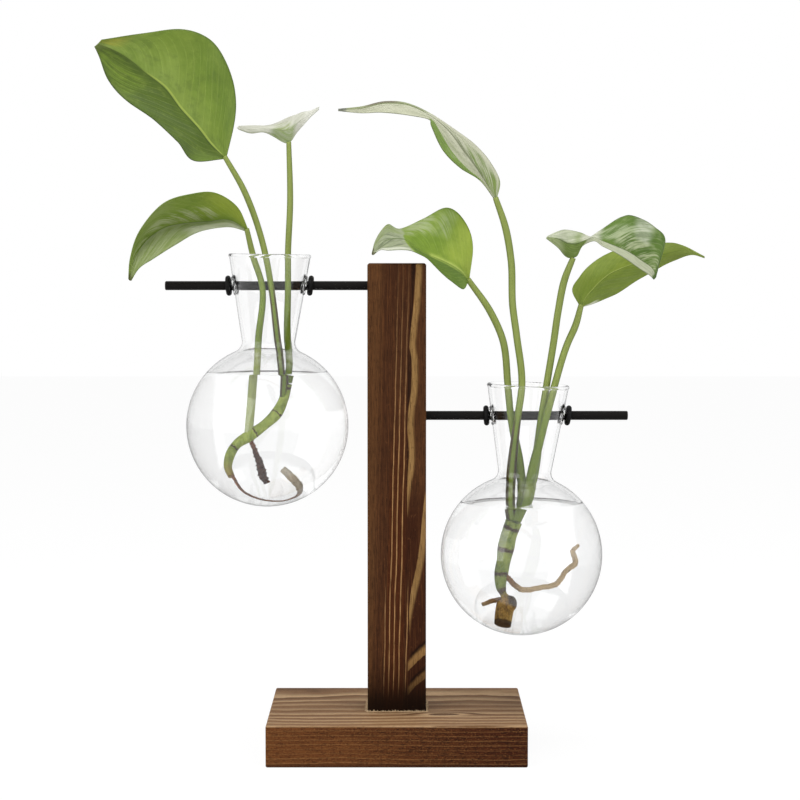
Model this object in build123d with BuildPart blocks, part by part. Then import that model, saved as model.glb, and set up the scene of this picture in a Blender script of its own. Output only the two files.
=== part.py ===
from build123d import *
import os
from math import cos, radians, sin, sqrt, tan

# Propagation vase: a wooden stand with two rods, each carrying a glass bulb held between two rubber
# rings, and a leafy cutting rooting in each bulb.
# Millimetres, +Z up, +X to the right, -Y to the front. The origin is the centre of the base's underside.

os.makedirs("parts", exist_ok=True)

# Stand
base_length = 112.0
base_depth = 88.0
base_height = 18.0
base_edge_round = 0.8
post_side = 25.6
post_height = 196.6
post_edge_round = 0.6

# Screws that hold the post, driven from below
screw_shank_radius = 1.8
screw_head_radius = 3.7
screw_head_height = 2.6
screw_length = 44.0
screw_tip_height = 4.0
screw_spacing = 12.0
screw_recess = 1.2
screw_hole_clearance = 0.25
screw_pilot_clearance = 0.04

# Rods
rod_radius = 2.0
rod_length = 111.0
rod_seat_depth = 22.0
rod_end_chamfer = 0.3
rod_seat_clearance = 0.03
upper_rod_below_top = 9.8
lower_rod_below_top = 67.0

# Glass bulbs, both blown to one pattern
glass_wall = 1.2
bulb_radius = 35.7
bulb_drop = 61.7
neck_radius_at_rod = 15.8
neck_flare = 9.4
neck_root_fillet = 4.5
mouth_height = 13.0
lip_radius = 0.85
rod_hole_radius = 2.8
hole_rim_radius = 0.75
hole_rim_proud = 0.45
hang_clearance = 0.1
waist_drop = 23.0

# Places of the bulbs along the rods, from the post's faces, and how far each hangs off plumb
left_bulb_reach = 43.2
right_bulb_reach = 44.6
left_bulb_lean = 1.0
right_bulb_lean = 2.1

# Rubber rings that pinch each neck
ring_thickness = 2.4
ring_fit = 0.06
ring_gap = 0.3
ring_slack_angle = 4.4

# Cuttings
stem_gap = 0.4
seat_gap = 0.3
leaf_gap = 0.6
leaf_stalk_width = 1.6
left_petiole_radius = 1.35
right_petiole_radius = 1.55
left_vine_radius = 1.8
right_vine_radius = 2.6
root_radius = 0.7
leaf_thickness = 0.7
leaf_crown_share = 0.05
leaf_over_post = 1.7

cut_overrun = 1.0


def unit(vector):
    """The vector at a length of one."""
    return vector * (1 / vector.length)


def neck_inner_radius(level):
    """Inside radius of a neck at a level above the rod."""
    return neck_radius_at_rod - glass_wall / cos(radians(neck_flare)) + level * tan(radians(neck_flare))


def bulb_frame(hang_x, rod_level, lean):
    """Frame of a bulb: origin on the rod, local x across, local y up the neck, local z to the front."""
    return Plane(
        origin=(hang_x, 0, rod_level),
        x_dir=(cos(radians(lean)), 0, -sin(radians(lean))),
        z_dir=(0, -1, 0),
    )


post_face = post_side / 2
post_top = base_height + post_height
upper_rod_level = post_top - upper_rod_below_top
lower_rod_level = post_top - lower_rod_below_top
left_frame = bulb_frame(-post_face - left_bulb_reach, upper_rod_level, left_bulb_lean)
right_frame = bulb_frame(post_face + right_bulb_reach, lower_rod_level, right_bulb_lean)


# Base block, with countersunk holes for the screws
with BuildPart() as base_block:
    with BuildSketch():
        Rectangle(base_length, base_depth)
    extrude(amount=base_height)
    fillet(base_block.edges(), radius=base_edge_round)
    with BuildSketch(Plane.XY.offset(base_height)):
        with GridLocations(screw_spacing, 0, 2, 1):
            Circle(screw_shank_radius + screw_hole_clearance)
    extrude(amount=-base_height, mode=Mode.SUBTRACT)
    with Locations(Plane.XY.offset(screw_recess)):
        with GridLocations(screw_spacing, 0, 2, 1):
            Cone(
                bottom_radius=screw_head_radius,
                top_radius=screw_shank_radius,
                height=screw_head_height,
                align=(Align.CENTER, Align.CENTER, Align.MIN),
                mode=Mode.SUBTRACT,
            )
    with BuildSketch():
        with GridLocations(screw_spacing, 0, 2, 1):
            Circle(screw_head_radius)
    extrude(amount=screw_recess, mode=Mode.SUBTRACT)

# Upright post, with blind holes for the rods and pilot holes for the screws
screw_top = screw_recess + screw_length
with BuildPart() as upright_post:
    with BuildSketch(Plane.XY.offset(base_height)):
        Rectangle(post_side, post_side)
    extrude(amount=post_height)
    fillet(upright_post.edges().filter_by(Axis.Z), radius=post_edge_round)
    chamfer(upright_post.faces().sort_by(Axis.Z)[-1].edges(), length=post_edge_round)
    with BuildSketch(Plane.XY.offset(base_height)):
        with GridLocations(screw_spacing, 0, 2, 1):
            Circle(screw_shank_radius + screw_pilot_clearance)
    extrude(amount=screw_top - base_height + cut_overrun, mode=Mode.SUBTRACT)
    with BuildSketch(Plane(origin=(-post_face, 0, upper_rod_level), z_dir=(1, 0, 0))):
        Circle(rod_radius + rod_seat_clearance)
    extrude(amount=rod_seat_depth, mode=Mode.SUBTRACT)
    with BuildSketch(Plane(origin=(post_face, 0, lower_rod_level), z_dir=(-1, 0, 0))):
        Circle(rod_radius + rod_seat_clearance)
    extrude(amount=rod_seat_depth, mode=Mode.SUBTRACT)

# The two wood screws, as one group
with BuildPart() as post_screws:
    with BuildSketch(Plane.XZ):
        with BuildLine():
            Polyline(
                (screw_spacing / 2, screw_recess),
                (screw_spacing / 2 + screw_head_radius, screw_recess),
                (screw_spacing / 2 + screw_shank_radius, screw_recess + screw_head_height),
                (screw_spacing / 2 + screw_shank_radius, screw_top - screw_tip_height),
                (screw_spacing / 2, screw_top),
                close=True,
            )
        make_face()
    revolve(axis=Axis((screw_spacing / 2, 0, 0), (0, 0, 1)))
    mirror(about=Plane.YZ)


def rod(inner_end, direction):
    """Straight rod from its seat in the post outwards along X, chamfered at its free end."""
    with BuildPart() as bar:
        with BuildSketch(Plane(origin=inner_end, z_dir=direction)):
            Circle(rod_radius)
        extrude(amount=rod_length)
        free_end = bar.faces().filter_by(GeomType.PLANE).sort_by(Axis(inner_end, direction))[-1]
        chamfer(free_end.edges(), length=rod_end_chamfer)
    return bar


upper_rod = rod((-post_face + rod_seat_depth, 0, upper_rod_level), (-1, 0, 0))
lower_rod = rod((post_face - rod_seat_depth, 0, lower_rod_level), (1, 0, 0))


def bulb_body(frame, grow, top_level):
    """Solid of revolution of the bulb's form, grown outwards by grow and cut off at top_level."""
    flare = radians(neck_flare)
    rise = Vector(sin(flare), cos(flare))
    outward = Vector(cos(flare), -sin(flare))
    wall_point = Vector(neck_radius_at_rod, 0)
    centre = Vector(0, -bulb_drop)
    # The root fillet's centre lies one fillet outside the neck's line and one outside the sphere.
    offset_line = wall_point + outward * neck_root_fillet - centre
    along = offset_line.dot(rise)
    reach = bulb_radius + neck_root_fillet
    travel = -along + sqrt(along**2 - offset_line.dot(offset_line) + reach**2)
    fillet_centre = wall_point + outward * neck_root_fillet + rise * travel
    to_sphere = unit(centre - fillet_centre)
    fillet_radius = neck_root_fillet - grow
    neck_foot = fillet_centre - outward * fillet_radius
    fillet_middle = fillet_centre + unit(to_sphere - outward) * fillet_radius
    sphere_top = fillet_centre + to_sphere * fillet_radius
    sphere_side = centre + Vector(bulb_radius + grow, 0)
    pole = centre - Vector(0, bulb_radius + grow)
    neck_side = wall_point + outward * grow
    neck_top = neck_side + rise * ((top_level - neck_side.Y) / rise.Y)
    with BuildPart() as body:
        with BuildSketch(frame):
            with BuildLine():
                ThreePointArc(pole, sphere_side, sphere_top)
                ThreePointArc(sphere_top, fillet_middle, neck_foot)
                Line(neck_foot, neck_top)
                Line(neck_top, (0, neck_top.Y))
                Line((0, neck_top.Y), pole)
            make_face()
        revolve(axis=Axis(frame.origin, frame.y_dir))
    return body.part


def wall_tilt(lean, side):
    """Angle between the upright and the neck's wall on one side, in degrees."""
    return neck_flare + side * lean


def wall_distance(lean, side):
    """Distance from the hanging point along the rod to the neck's outer wall on one side."""
    return neck_radius_at_rod * cos(radians(neck_flare)) / cos(radians(wall_tilt(lean, side)))


def glass_bulb(frame, lean):
    """Blown bulb: a sphere with a flared neck, a rounded lip and two polished holes for the rod."""
    outside = bulb_body(frame, 0, mouth_height)
    inside = bulb_body(frame, -glass_wall, mouth_height + cut_overrun)
    lip_offset = neck_inner_radius(mouth_height) + glass_wall / 2
    hole_drop = rod_hole_radius - rod_radius - hang_clearance
    with BuildPart() as bulb:
        add(outside)
        for side in (-1, 1):
            tilt = radians(wall_tilt(lean, side))
            rim_centre = frame.origin + Vector(side * wall_distance(lean, side), 0, 0)
            rim_plane = Plane(origin=rim_centre, z_dir=(side * cos(tilt), 0, -sin(tilt)))
            with Locations(rim_plane.offset(hole_rim_proud - hole_rim_radius)):
                Torus(rod_hole_radius + hole_rim_radius, hole_rim_radius)
        add(inside, mode=Mode.SUBTRACT)
        with BuildSketch(frame):
            with Locations((lip_offset, mouth_height)):
                Circle(lip_radius)
        revolve(axis=Axis(frame.origin, frame.y_dir))
        drill_start = frame.origin - Vector(neck_radius_at_rod * 2, 0, hole_drop)
        with BuildSketch(Plane(origin=drill_start, z_dir=(1, 0, 0))):
            Circle(rod_hole_radius)
        extrude(amount=neck_radius_at_rod * 2 * 2, mode=Mode.SUBTRACT)
    return bulb


left_bulb = glass_bulb(left_frame, left_bulb_lean)
right_bulb = glass_bulb(right_frame, right_bulb_lean)

# Rubber rings, one against each side of each neck, tilted part of the way with its flare
ring_section_radius = ring_thickness / 2
ring_pitch_radius = rod_radius + ring_fit + ring_section_radius


def rubber_ring(frame, lean, side):
    """Ring on the rod beside one wall of a neck, its top leaning outwards with the flare."""
    tilt = wall_tilt(lean, side) - ring_slack_angle
    lean_room = ring_pitch_radius * (tan(radians(wall_tilt(lean, side))) - tan(radians(tilt)))
    offset = wall_distance(lean, side) + hole_rim_proud + ring_gap + ring_section_radius + lean_room
    centre = frame.origin + Vector(side * offset, 0, 0)
    axis = (side * cos(radians(tilt)), 0, -sin(radians(tilt)))
    with BuildPart() as ring:
        with Locations(Plane(origin=centre, z_dir=axis)):
            Torus(ring_pitch_radius, ring_section_radius)
    return ring


left_outer_ring = rubber_ring(left_frame, left_bulb_lean, -1)
left_inner_ring = rubber_ring(left_frame, left_bulb_lean, 1)
right_inner_ring = rubber_ring(right_frame, right_bulb_lean, -1)
right_outer_ring = rubber_ring(right_frame, right_bulb_lean, 1)


# Places inside and above a bulb, each given across, up and to the front in the bulb's frame
def in_bulb(across_share, up_share, front_share):
    """Place in the bulb, in shares of its inside radius from its centre."""
    inner = bulb_radius - glass_wall
    return (across_share * inner, up_share * inner - bulb_drop, front_share * inner)


def on_glass(across_share, up_share, front_share, radius):
    """Place of a round stem that rests on the bulb's inside wall in the direction of the shares."""
    reach = bulb_radius - glass_wall - radius - seat_gap
    direction = unit(Vector(across_share, up_share, front_share)) * reach
    return (direction.X, direction.Y - bulb_drop, direction.Z)


def in_neck(level, across_share, front_share, radius):
    """Place in the neck at a level, in shares of the room that a stem of this radius has there."""
    room = neck_inner_radius(level) - radius - seat_gap
    return (across_share * room, level, front_share * room)


def before_rod(across_share, layer, radius):
    """Place level with the rod and in front of it, in the first or a later layer of stems."""
    room = neck_inner_radius(0) - radius - seat_gap
    return (across_share * room, 0, rod_radius + stem_gap + radius + layer * (2 * radius + stem_gap))


def above_mouth(reach, across_share, up_share, front_share):
    """Place above the mouth, in shares of the petiole's height over it."""
    return (across_share * reach, mouth_height + up_share * reach, front_share * reach)


def bend_radii(points):
    """The largest tangent arc that the two runs at each inner point allow."""
    radii = []
    for before, corner, after in zip(points, points[1:], points[2:]):
        turn = (corner - before).get_angle(after - corner)
        shorter = min((corner - before).length, (after - corner).length)
        radii.append(shorter * 0.45 / tan(radians(turn / 2)))
    return radii


def stem(frame, places, radius):
    """Round stem of one radius along straight runs joined by tangent arcs."""
    points = [frame.from_local_coords(Vector(*place)) for place in places]
    with BuildPart() as tube:
        with BuildLine():
            FilletPolyline(*points, radius=bend_radii(points))
        with BuildSketch(Plane(origin=points[0], z_dir=points[1] - points[0])):
            Circle(radius)
        sweep()
    return tube.part


def ringed_stem(frame, places, radii):
    """Stem of changing thickness: cones between round sections square to its path."""
    points = [frame.from_local_coords(Vector(*place)) for place in places]
    ends = [points[0], *points, points[-1]]
    with BuildPart() as tube:
        for index, point in enumerate(points):
            with BuildSketch(Plane(origin=point, z_dir=ends[index + 2] - ends[index])):
                Circle(radii[index])
        loft(ruled=True)
    return tube.part


def leaf(petiole_end, length, stalk_width, upper_side, shares):
    """Thin curved blade lofted through sections across the midrib.

    Each row of shares holds the midrib, the upper edge and the lower edge as (right, back, up) from
    the petiole's end, in shares of the leaf's length. Each half of a section is an arc, crowned to
    upper_side. A leaf with a stalk width starts as wide as that on its petiole.
    """
    rows = [[petiole_end + Vector(*place) * length for place in row] for row in shares]
    if stalk_width:
        along = unit(rows[0][0] - petiole_end)
        across = rows[0][1] - rows[0][2]
        half_stalk = unit(across - along * across.dot(along)) * (stalk_width / 2)
        rows.insert(0, [petiole_end, petiole_end + half_stalk, petiole_end - half_stalk])
    middles = [rows[0][0], *[row[0] for row in rows], rows[-1][0]]
    with BuildPart() as blade:
        for index, (middle, upper, lower) in enumerate(rows):
            section = Plane(origin=lower, x_dir=upper - lower, z_dir=middles[index + 2] - middles[index])
            fold = section.to_local_coords(middle)
            width = (upper - lower).length
            crown = width * leaf_crown_share * upper_side
            top = leaf_thickness / 2
            with BuildSketch(section):
                with BuildLine():
                    for face in (top, -top):
                        ThreePointArc(
                            (0, face), (fold.X / 2, fold.Y / 2 + crown + face), (fold.X, fold.Y + face)
                        )
                        ThreePointArc(
                            (fold.X, fold.Y + face),
                            ((fold.X + width) / 2, fold.Y / 2 + crown + face),
                            (width, face),
                        )
                    Line((0, top), (0, -top))
                    Line((width, top), (width, -top))
                make_face()
        loft(ruled=True)
    return blade


# Left cutting: its vine lies across the bulb and ends in roots on the glass
left_drooping_reach = 10.6
left_large_reach = 42.0
left_young_reach = 48.6

left_vine_shares = [
    (0.20, 0.44, 0.12),
    (0.16, 0.26, 0.13),
    (0.10, 0.14, 0.15),
    (-0.02, 0.02, 0.18),
    (-0.17, -0.09, 0.22),
    (-0.30, -0.18, 0.26),
    (-0.37, -0.29, 0.30),
    (-0.40, -0.44, 0.34),
    (-0.37, -0.54, 0.38),
]
left_vine_width_shares = [1.0, 0.95, 1.1, 0.95, 1.15, 0.95, 1.0, 0.9, 0.8]
left_vine_stem = ringed_stem(
    left_frame,
    [in_bulb(*shares) for shares in left_vine_shares],
    [left_vine_radius * share for share in left_vine_width_shares],
)
left_drooping_petiole = [
    above_mouth(left_drooping_reach, -0.90, 1.0, 0.75),
    in_neck(mouth_height, -0.46, 0.42, left_petiole_radius),
    before_rod(-0.23, 0, left_petiole_radius),
    in_neck(-waist_drop, -0.46, 0.40, left_petiole_radius),
    in_bulb(-0.14, 0.64, 0.14),
    in_bulb(-0.16, 0.22, 0.16),
    in_bulb(-0.18, -0.08, 0.22),
]
left_large_petiole = [
    above_mouth(left_large_reach, -0.465, 1.0, 0.07),
    above_mouth(left_large_reach, -0.27, 0.67, 0.10),
    above_mouth(left_large_reach, -0.15, 0.385, 0.12),
    in_neck(mouth_height, -0.10, 0.34, left_petiole_radius),
    before_rod(0.07, 0, left_petiole_radius),
    in_neck(-waist_drop, 0.44, 0.50, left_petiole_radius),
    in_bulb(0.18, 0.62, 0.16),
    in_bulb(0.17, 0.30, 0.13),
]
left_young_petiole = [
    above_mouth(left_young_reach, 0.16, 1.0, 0.06),
    above_mouth(left_young_reach, 0.18, 0.5, 0.08),
    in_neck(mouth_height, 0.54, 0.27, left_petiole_radius),
    before_rod(0.64, 0, left_petiole_radius),
    in_neck(-waist_drop, 0.90, 0.28, left_petiole_radius),
    in_bulb(0.27, 0.74, 0.12),
    in_bulb(0.21, 0.46, 0.12),
]
left_petiole_stems = [
    stem(left_frame, places, left_petiole_radius)
    for places in (left_drooping_petiole, left_large_petiole, left_young_petiole)
]
left_dead_root_shares = [
    (-0.17, -0.09, 0.22),
    (-0.11, -0.25, 0.21),
    (-0.06, -0.38, 0.20),
    (-0.04, -0.47, 0.18),
    (0.01, -0.58, 0.16),
]
left_dead_root_width_shares = [0.9, 1.0, 1.7, 2.0, 1.2]
left_husk_shares = [(0.39, -0.78, 0.27), (0.38, -0.66, 0.27), (0.29, -0.54, 0.27), (0.18, -0.43, 0.27)]
left_husk_width_shares = [1.0, 2.0, 2.2, 1.8]
left_root_stems = [
    ringed_stem(
        left_frame,
        [in_bulb(*shares) for shares in left_dead_root_shares],
        [root_radius * share for share in left_dead_root_width_shares],
    ),
    stem(
        left_frame,
        [
            in_bulb(-0.37, -0.50, 0.37),
            on_glass(-0.23, -0.78, 0.53, root_radius),
            on_glass(0.06, -0.88, 0.40, root_radius),
            on_glass(0.28, -0.88, 0.33, root_radius),
            in_bulb(0.39, -0.77, 0.27),
        ],
        root_radius,
    ),
    ringed_stem(
        left_frame,
        [in_bulb(*shares) for shares in left_husk_shares],
        [root_radius * share for share in left_husk_width_shares],
    ),
]

# Right cutting: a ringed vine that stands on its cut stump in the bottom of the bulb
right_long_reach = 81.0
right_curled_reach = 56.0
right_rear_reach = 35.4
# The arched leaf lies over the post, so its petiole ends as high as that leaf needs.
right_arched_length = 62.0
right_arched_low_share = 0.17
right_arched_level = post_top + leaf_over_post - right_arched_low_share * right_arched_length
right_arched_reach = right_arched_level - lower_rod_level - mouth_height

right_vine_shares = [
    (-0.10, 0.36, 0.17),
    (-0.15, 0.20, 0.18),
    (-0.17, 0.09, 0.19),
    (-0.19, -0.05, 0.20),
    (-0.21, -0.18, 0.22),
    (-0.21, -0.32, 0.25),
    (-0.17, -0.42, 0.28),
]
right_vine_width_shares = [1.15, 1.1, 1.15, 0.95, 0.95, 0.7, 0.65]
right_stump_radius = 3.4
right_stump_shares = [(-0.15, -0.46, 0.29), (-0.17, -0.55, 0.31)]
right_vine_stem = ringed_stem(
    right_frame,
    [in_bulb(*shares) for shares in right_vine_shares + right_stump_shares]
    + [on_glass(-0.20, -0.76, 0.36, right_stump_radius)],
    [right_vine_radius * share for share in right_vine_width_shares] + [right_stump_radius] * 3,
)
right_arched_petiole = [
    above_mouth(right_arched_reach, -0.616, 1.0, 0.16),
    above_mouth(right_arched_reach, -0.40, 0.71, 0.16),
    above_mouth(right_arched_reach, -0.28, 0.47, 0.14),
    in_neck(mouth_height, -0.61, 0.28, right_petiole_radius),
    before_rod(-0.57, 0, right_petiole_radius),
    in_neck(-waist_drop, -0.26, 0.26, right_petiole_radius),
    in_bulb(-0.03, 0.72, 0.10),
    in_bulb(-0.10, 0.42, 0.15),
]
right_long_petiole = [
    above_mouth(right_long_reach, -0.214, 1.0, 0.04),
    above_mouth(right_long_reach, -0.16, 0.857, 0.045),
    above_mouth(right_long_reach, -0.122, 0.678, 0.05),
    above_mouth(right_long_reach, -0.104, 0.433, 0.06),
    above_mouth(right_long_reach, -0.078, 0.28, 0.07),
    in_neck(mouth_height, -0.21, 0.45, right_petiole_radius),
    before_rod(-0.34, 1, right_petiole_radius),
    in_neck(-waist_drop, -0.66, 0.62, right_petiole_radius),
    in_bulb(-0.17, 0.62, 0.20),
    in_bulb(-0.12, 0.38, 0.17),
]
right_curled_petiole = [
    above_mouth(right_curled_reach, 0.298, 1.0, 0.10),
    above_mouth(right_curled_reach, 0.248, 0.857, 0.10),
    above_mouth(right_curled_reach, 0.207, 0.605, 0.09),
    above_mouth(right_curled_reach, 0.182, 0.355, 0.07),
    in_neck(mouth_height, 0.52, 0.27, right_petiole_radius),
    before_rod(0.48, 0, right_petiole_radius),
    in_neck(-waist_drop, 0.48, 0.20, right_petiole_radius),
    in_bulb(0.04, 0.66, 0.08),
    in_bulb(-0.08, 0.40, 0.15),
]
right_rear_petiole = [
    above_mouth(right_rear_reach, 0.613, 1.0, -0.03),
    above_mouth(right_rear_reach, 0.555, 0.77, 0.02),
    above_mouth(right_rear_reach, 0.47, 0.565, 0.06),
    in_neck(mouth_height, 0.74, 0.40, right_petiole_radius),
    before_rod(0.62, 1, right_petiole_radius),
    in_neck(-waist_drop, 0.34, 0.74, right_petiole_radius),
    in_bulb(0.00, 0.60, 0.22),
    in_bulb(-0.08, 0.38, 0.18),
]
right_petiole_stems = [
    stem(right_frame, places, right_petiole_radius)
    for places in (right_arched_petiole, right_long_petiole, right_curled_petiole, right_rear_petiole)
]
right_root_stems = [
    stem(
        right_frame,
        [
            in_bulb(-0.20, -0.16, 0.22),
            in_bulb(0.01, -0.33, 0.30),
            in_bulb(0.20, -0.30, 0.34),
            in_bulb(0.36, -0.26, 0.30),
            in_bulb(0.46, -0.12, 0.24),
            in_bulb(0.55, -0.04, 0.20),
            in_bulb(0.52, 0.08, 0.18),
            in_bulb(0.58, 0.14, 0.15),
        ],
        root_radius,
    ),
    stem(
        right_frame,
        [in_bulb(-0.16, -0.44, 0.28), in_bulb(-0.30, -0.47, 0.30), in_bulb(-0.42, -0.53, 0.28)],
        root_radius,
    ),
]

with BuildPart() as left_vine:
    add(left_vine_stem)
with BuildPart() as left_petioles:
    add(left_petiole_stems)
    add(left_vine_stem, mode=Mode.SUBTRACT)
with BuildPart() as left_roots:
    add(left_root_stems)
    add(left_vine_stem, mode=Mode.SUBTRACT)
with BuildPart() as right_vine:
    add(right_vine_stem)
with BuildPart() as right_petioles:
    add(right_petiole_stems)
    add(right_vine_stem, mode=Mode.SUBTRACT)
with BuildPart() as right_roots:
    add(right_root_stems)
    add(right_vine_stem, mode=Mode.SUBTRACT)


def petiole_top(frame, places):
    """Point just past a petiole's upper end, where its leaf starts."""
    end = frame.from_local_coords(Vector(*places[0]))
    before = frame.from_local_coords(Vector(*places[1]))
    return end + unit(end - before) * leaf_gap


# Leaves, as shares of their lengths: midrib, upper edge, lower edge
left_large_length = 77.0
left_large_shares = [
    ((-0.07, 0.01, 0.07), (0.05, 0.05, 0.21), (-0.17, -0.04, -0.02)),
    ((-0.15, 0.02, 0.17), (0.05, 0.09, 0.39), (-0.28, -0.05, 0.06)),
    ((-0.25, 0.03, 0.28), (0.00, 0.13, 0.57), (-0.40, -0.05, 0.19)),
    ((-0.34, 0.03, 0.40), (-0.10, 0.15, 0.70), (-0.55, -0.04, 0.31)),
    ((-0.46, 0.02, 0.49), (-0.26, 0.14, 0.76), (-0.66, -0.03, 0.44)),
    ((-0.58, -0.01, 0.58), (-0.46, 0.08, 0.73), (-0.71, -0.03, 0.57)),
    ((-0.71, -0.05, 0.64), (-0.69, -0.05, 0.66), (-0.73, -0.06, 0.62)),
]
left_drooping_length = 62.0
left_drooping_shares = [
    ((-0.12, -0.02, 0.07), (-0.06, -0.11, 0.16), (-0.11, -0.06, 0.02)),
    ((-0.27, -0.02, 0.06), (-0.21, -0.19, 0.27), (-0.23, -0.13, 0.01)),
    ((-0.42, -0.05, 0.05), (-0.38, -0.24, 0.26), (-0.36, -0.19, -0.03)),
    ((-0.57, -0.10, 0.02), (-0.56, -0.27, 0.18), (-0.49, -0.26, -0.11)),
    ((-0.70, -0.16, -0.08), (-0.72, -0.27, 0.00), (-0.63, -0.29, -0.20)),
    ((-0.77, -0.24, -0.22), (-0.79, -0.27, -0.19), (-0.73, -0.31, -0.27)),
    ((-0.79, -0.31, -0.35), (-0.80, -0.31, -0.34), (-0.78, -0.32, -0.35)),
]
left_young_length = 38.0
left_young_shares = [
    ((-0.58, -0.21, 0.17), (-0.56, -0.18, 0.19), (-0.56, -0.24, 0.15)),
    ((-0.45, -0.16, 0.15), (-0.43, -0.10, 0.20), (-0.44, -0.18, 0.11)),
    ((-0.29, -0.10, 0.16), (-0.27, -0.03, 0.20), (-0.29, -0.13, 0.12)),
    ((-0.15, -0.05, 0.16), (-0.12, 0.08, 0.25), (-0.16, -0.05, 0.07)),
    ((-0.02, 0.00, 0.15), (0.00, 0.18, 0.31), (-0.01, 0.00, 0.00)),
    ((0.12, 0.03, 0.25), (0.13, 0.18, 0.36), (0.11, 0.03, 0.15)),
    ((0.24, 0.03, 0.34), (0.25, 0.11, 0.38), (0.25, 0.00, 0.30)),
    ((0.34, 0.00, 0.40), (0.35, 0.01, 0.42), (0.35, -0.01, 0.39)),
]
right_long_length = 88.0
right_long_shares = [
    ((-0.05, -0.01, 0.08), (0.02, 0.03, 0.09), (-0.08, -0.03, 0.09)),
    ((-0.10, -0.02, 0.16), (-0.03, 0.06, 0.19), (-0.18, -0.08, 0.15)),
    ((-0.16, -0.03, 0.24), (-0.09, 0.07, 0.26), (-0.26, -0.10, 0.23)),
    ((-0.23, -0.03, 0.33), (-0.17, 0.06, 0.32), (-0.32, -0.10, 0.35)),
    ((-0.33, -0.05, 0.41), (-0.32, -0.01, 0.42), (-0.34, -0.07, 0.39)),
    ((-0.43, -0.06, 0.46), (-0.44, -0.01, 0.47), (-0.44, -0.10, 0.41)),
    ((-0.54, -0.07, 0.47), (-0.55, -0.02, 0.48), (-0.56, -0.10, 0.42)),
    ((-0.68, -0.08, 0.44), (-0.68, -0.06, 0.45), (-0.68, -0.09, 0.42)),
    ((-0.78, -0.09, 0.43), (-0.78, -0.09, 0.44), (-0.78, -0.10, 0.43)),
]
right_arched_shares = [
    ((-0.06, -0.05, 0.07), (0.03, 0.06, 0.24), (-0.04, -0.11, -0.06)),
    ((-0.16, -0.08, 0.13), (-0.02, 0.13, 0.41), (-0.13, -0.15, 0.00)),
    ((-0.28, -0.10, 0.18), (-0.16, 0.16, 0.51), (-0.25, -0.17, 0.11)),
    ((-0.37, -0.10, 0.23), (-0.31, 0.13, 0.44), (-0.32, -0.17, 0.17)),
    ((-0.46, -0.08, 0.29), (-0.48, 0.00, 0.36), (-0.41, -0.15, 0.21)),
    ((-0.58, -0.08, 0.28), (-0.58, -0.02, 0.39), (-0.56, -0.13, 0.21)),
    ((-0.65, -0.10, 0.22), (-0.66, -0.08, 0.27), (-0.63, -0.11, 0.21)),
    ((-0.68, -0.11, 0.18), (-0.68, -0.11, 0.19), (-0.67, -0.12, 0.18)),
]
right_curled_length = 52.0
right_curled_shares = [
    ((-0.23, -0.15, 0.18), (-0.22, -0.13, 0.19), (-0.23, -0.16, 0.17)),
    ((-0.14, -0.13, 0.17), (-0.13, -0.03, 0.23), (-0.14, -0.13, 0.10)),
    ((-0.03, -0.05, 0.13), (-0.02, 0.08, 0.24), (-0.03, -0.02, 0.01)),
    ((0.03, -0.03, 0.13), (0.07, 0.10, 0.22), (0.03, 0.00, 0.02)),
    ((0.11, -0.05, 0.16), (0.15, 0.04, 0.19), (0.09, -0.03, 0.11)),
    ((0.17, -0.07, 0.18), (0.18, -0.02, 0.21), (0.17, -0.09, 0.15)),
    ((0.24, -0.09, 0.15), (0.28, 0.02, 0.27), (0.24, -0.13, 0.11)),
    ((0.34, -0.13, 0.11), (0.41, 0.04, 0.35), (0.33, -0.17, 0.06)),
    ((0.47, -0.15, 0.05), (0.52, 0.02, 0.36), (0.46, -0.21, -0.02)),
    ((0.57, -0.17, -0.02), (0.68, -0.02, 0.27), (0.56, -0.23, -0.09)),
    ((0.65, -0.19, -0.08), (0.77, -0.07, 0.15), (0.63, -0.23, -0.14)),
    ((0.68, -0.21, -0.15), (0.70, -0.17, -0.06), (0.66, -0.23, -0.17)),
]
right_rear_length = 68.0
right_rear_shares = [
    ((0.03, 0.01, 0.05), (-0.05, 0.06, 0.09), (0.07, 0.01, 0.01)),
    ((0.09, 0.04, 0.12), (0.00, 0.10, 0.19), (0.17, 0.04, 0.05)),
    ((0.18, 0.07, 0.20), (0.09, 0.15, 0.28), (0.26, 0.07, 0.09)),
    ((0.31, 0.09, 0.26), (0.21, 0.16, 0.35), (0.38, 0.09, 0.17)),
    ((0.44, 0.09, 0.30), (0.36, 0.15, 0.39), (0.49, 0.09, 0.23)),
    ((0.57, 0.07, 0.34), (0.56, 0.12, 0.41), (0.60, 0.06, 0.29)),
    ((0.70, 0.04, 0.36), (0.67, 0.06, 0.39), (0.72, 0.03, 0.33)),
    ((0.80, 0.01, 0.32), (0.80, 0.02, 0.32), (0.80, 0.01, 0.31)),
]

left_large_leaf = leaf(
    petiole_top(left_frame, left_large_petiole), left_large_length, leaf_stalk_width, 1, left_large_shares
)
left_drooping_leaf = leaf(
    petiole_top(left_frame, left_drooping_petiole),
    left_drooping_length,
    leaf_stalk_width,
    1,
    left_drooping_shares,
)
left_young_leaf = leaf(
    petiole_top(left_frame, left_young_petiole), left_young_length, 0, 1, left_young_shares
)
right_long_leaf = leaf(
    petiole_top(right_frame, right_long_petiole), right_long_length, leaf_stalk_width, 1, right_long_shares
)
right_arched_leaf = leaf(
    petiole_top(right_frame, right_arched_petiole),
    right_arched_length,
    leaf_stalk_width,
    1,
    right_arched_shares,
)
right_curled_leaf = leaf(
    petiole_top(right_frame, right_curled_petiole), right_curled_length, 0, 1, right_curled_shares
)
right_rear_leaf = leaf(
    petiole_top(right_frame, right_rear_petiole), right_rear_length, leaf_stalk_width, 1, right_rear_shares
)

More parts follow.
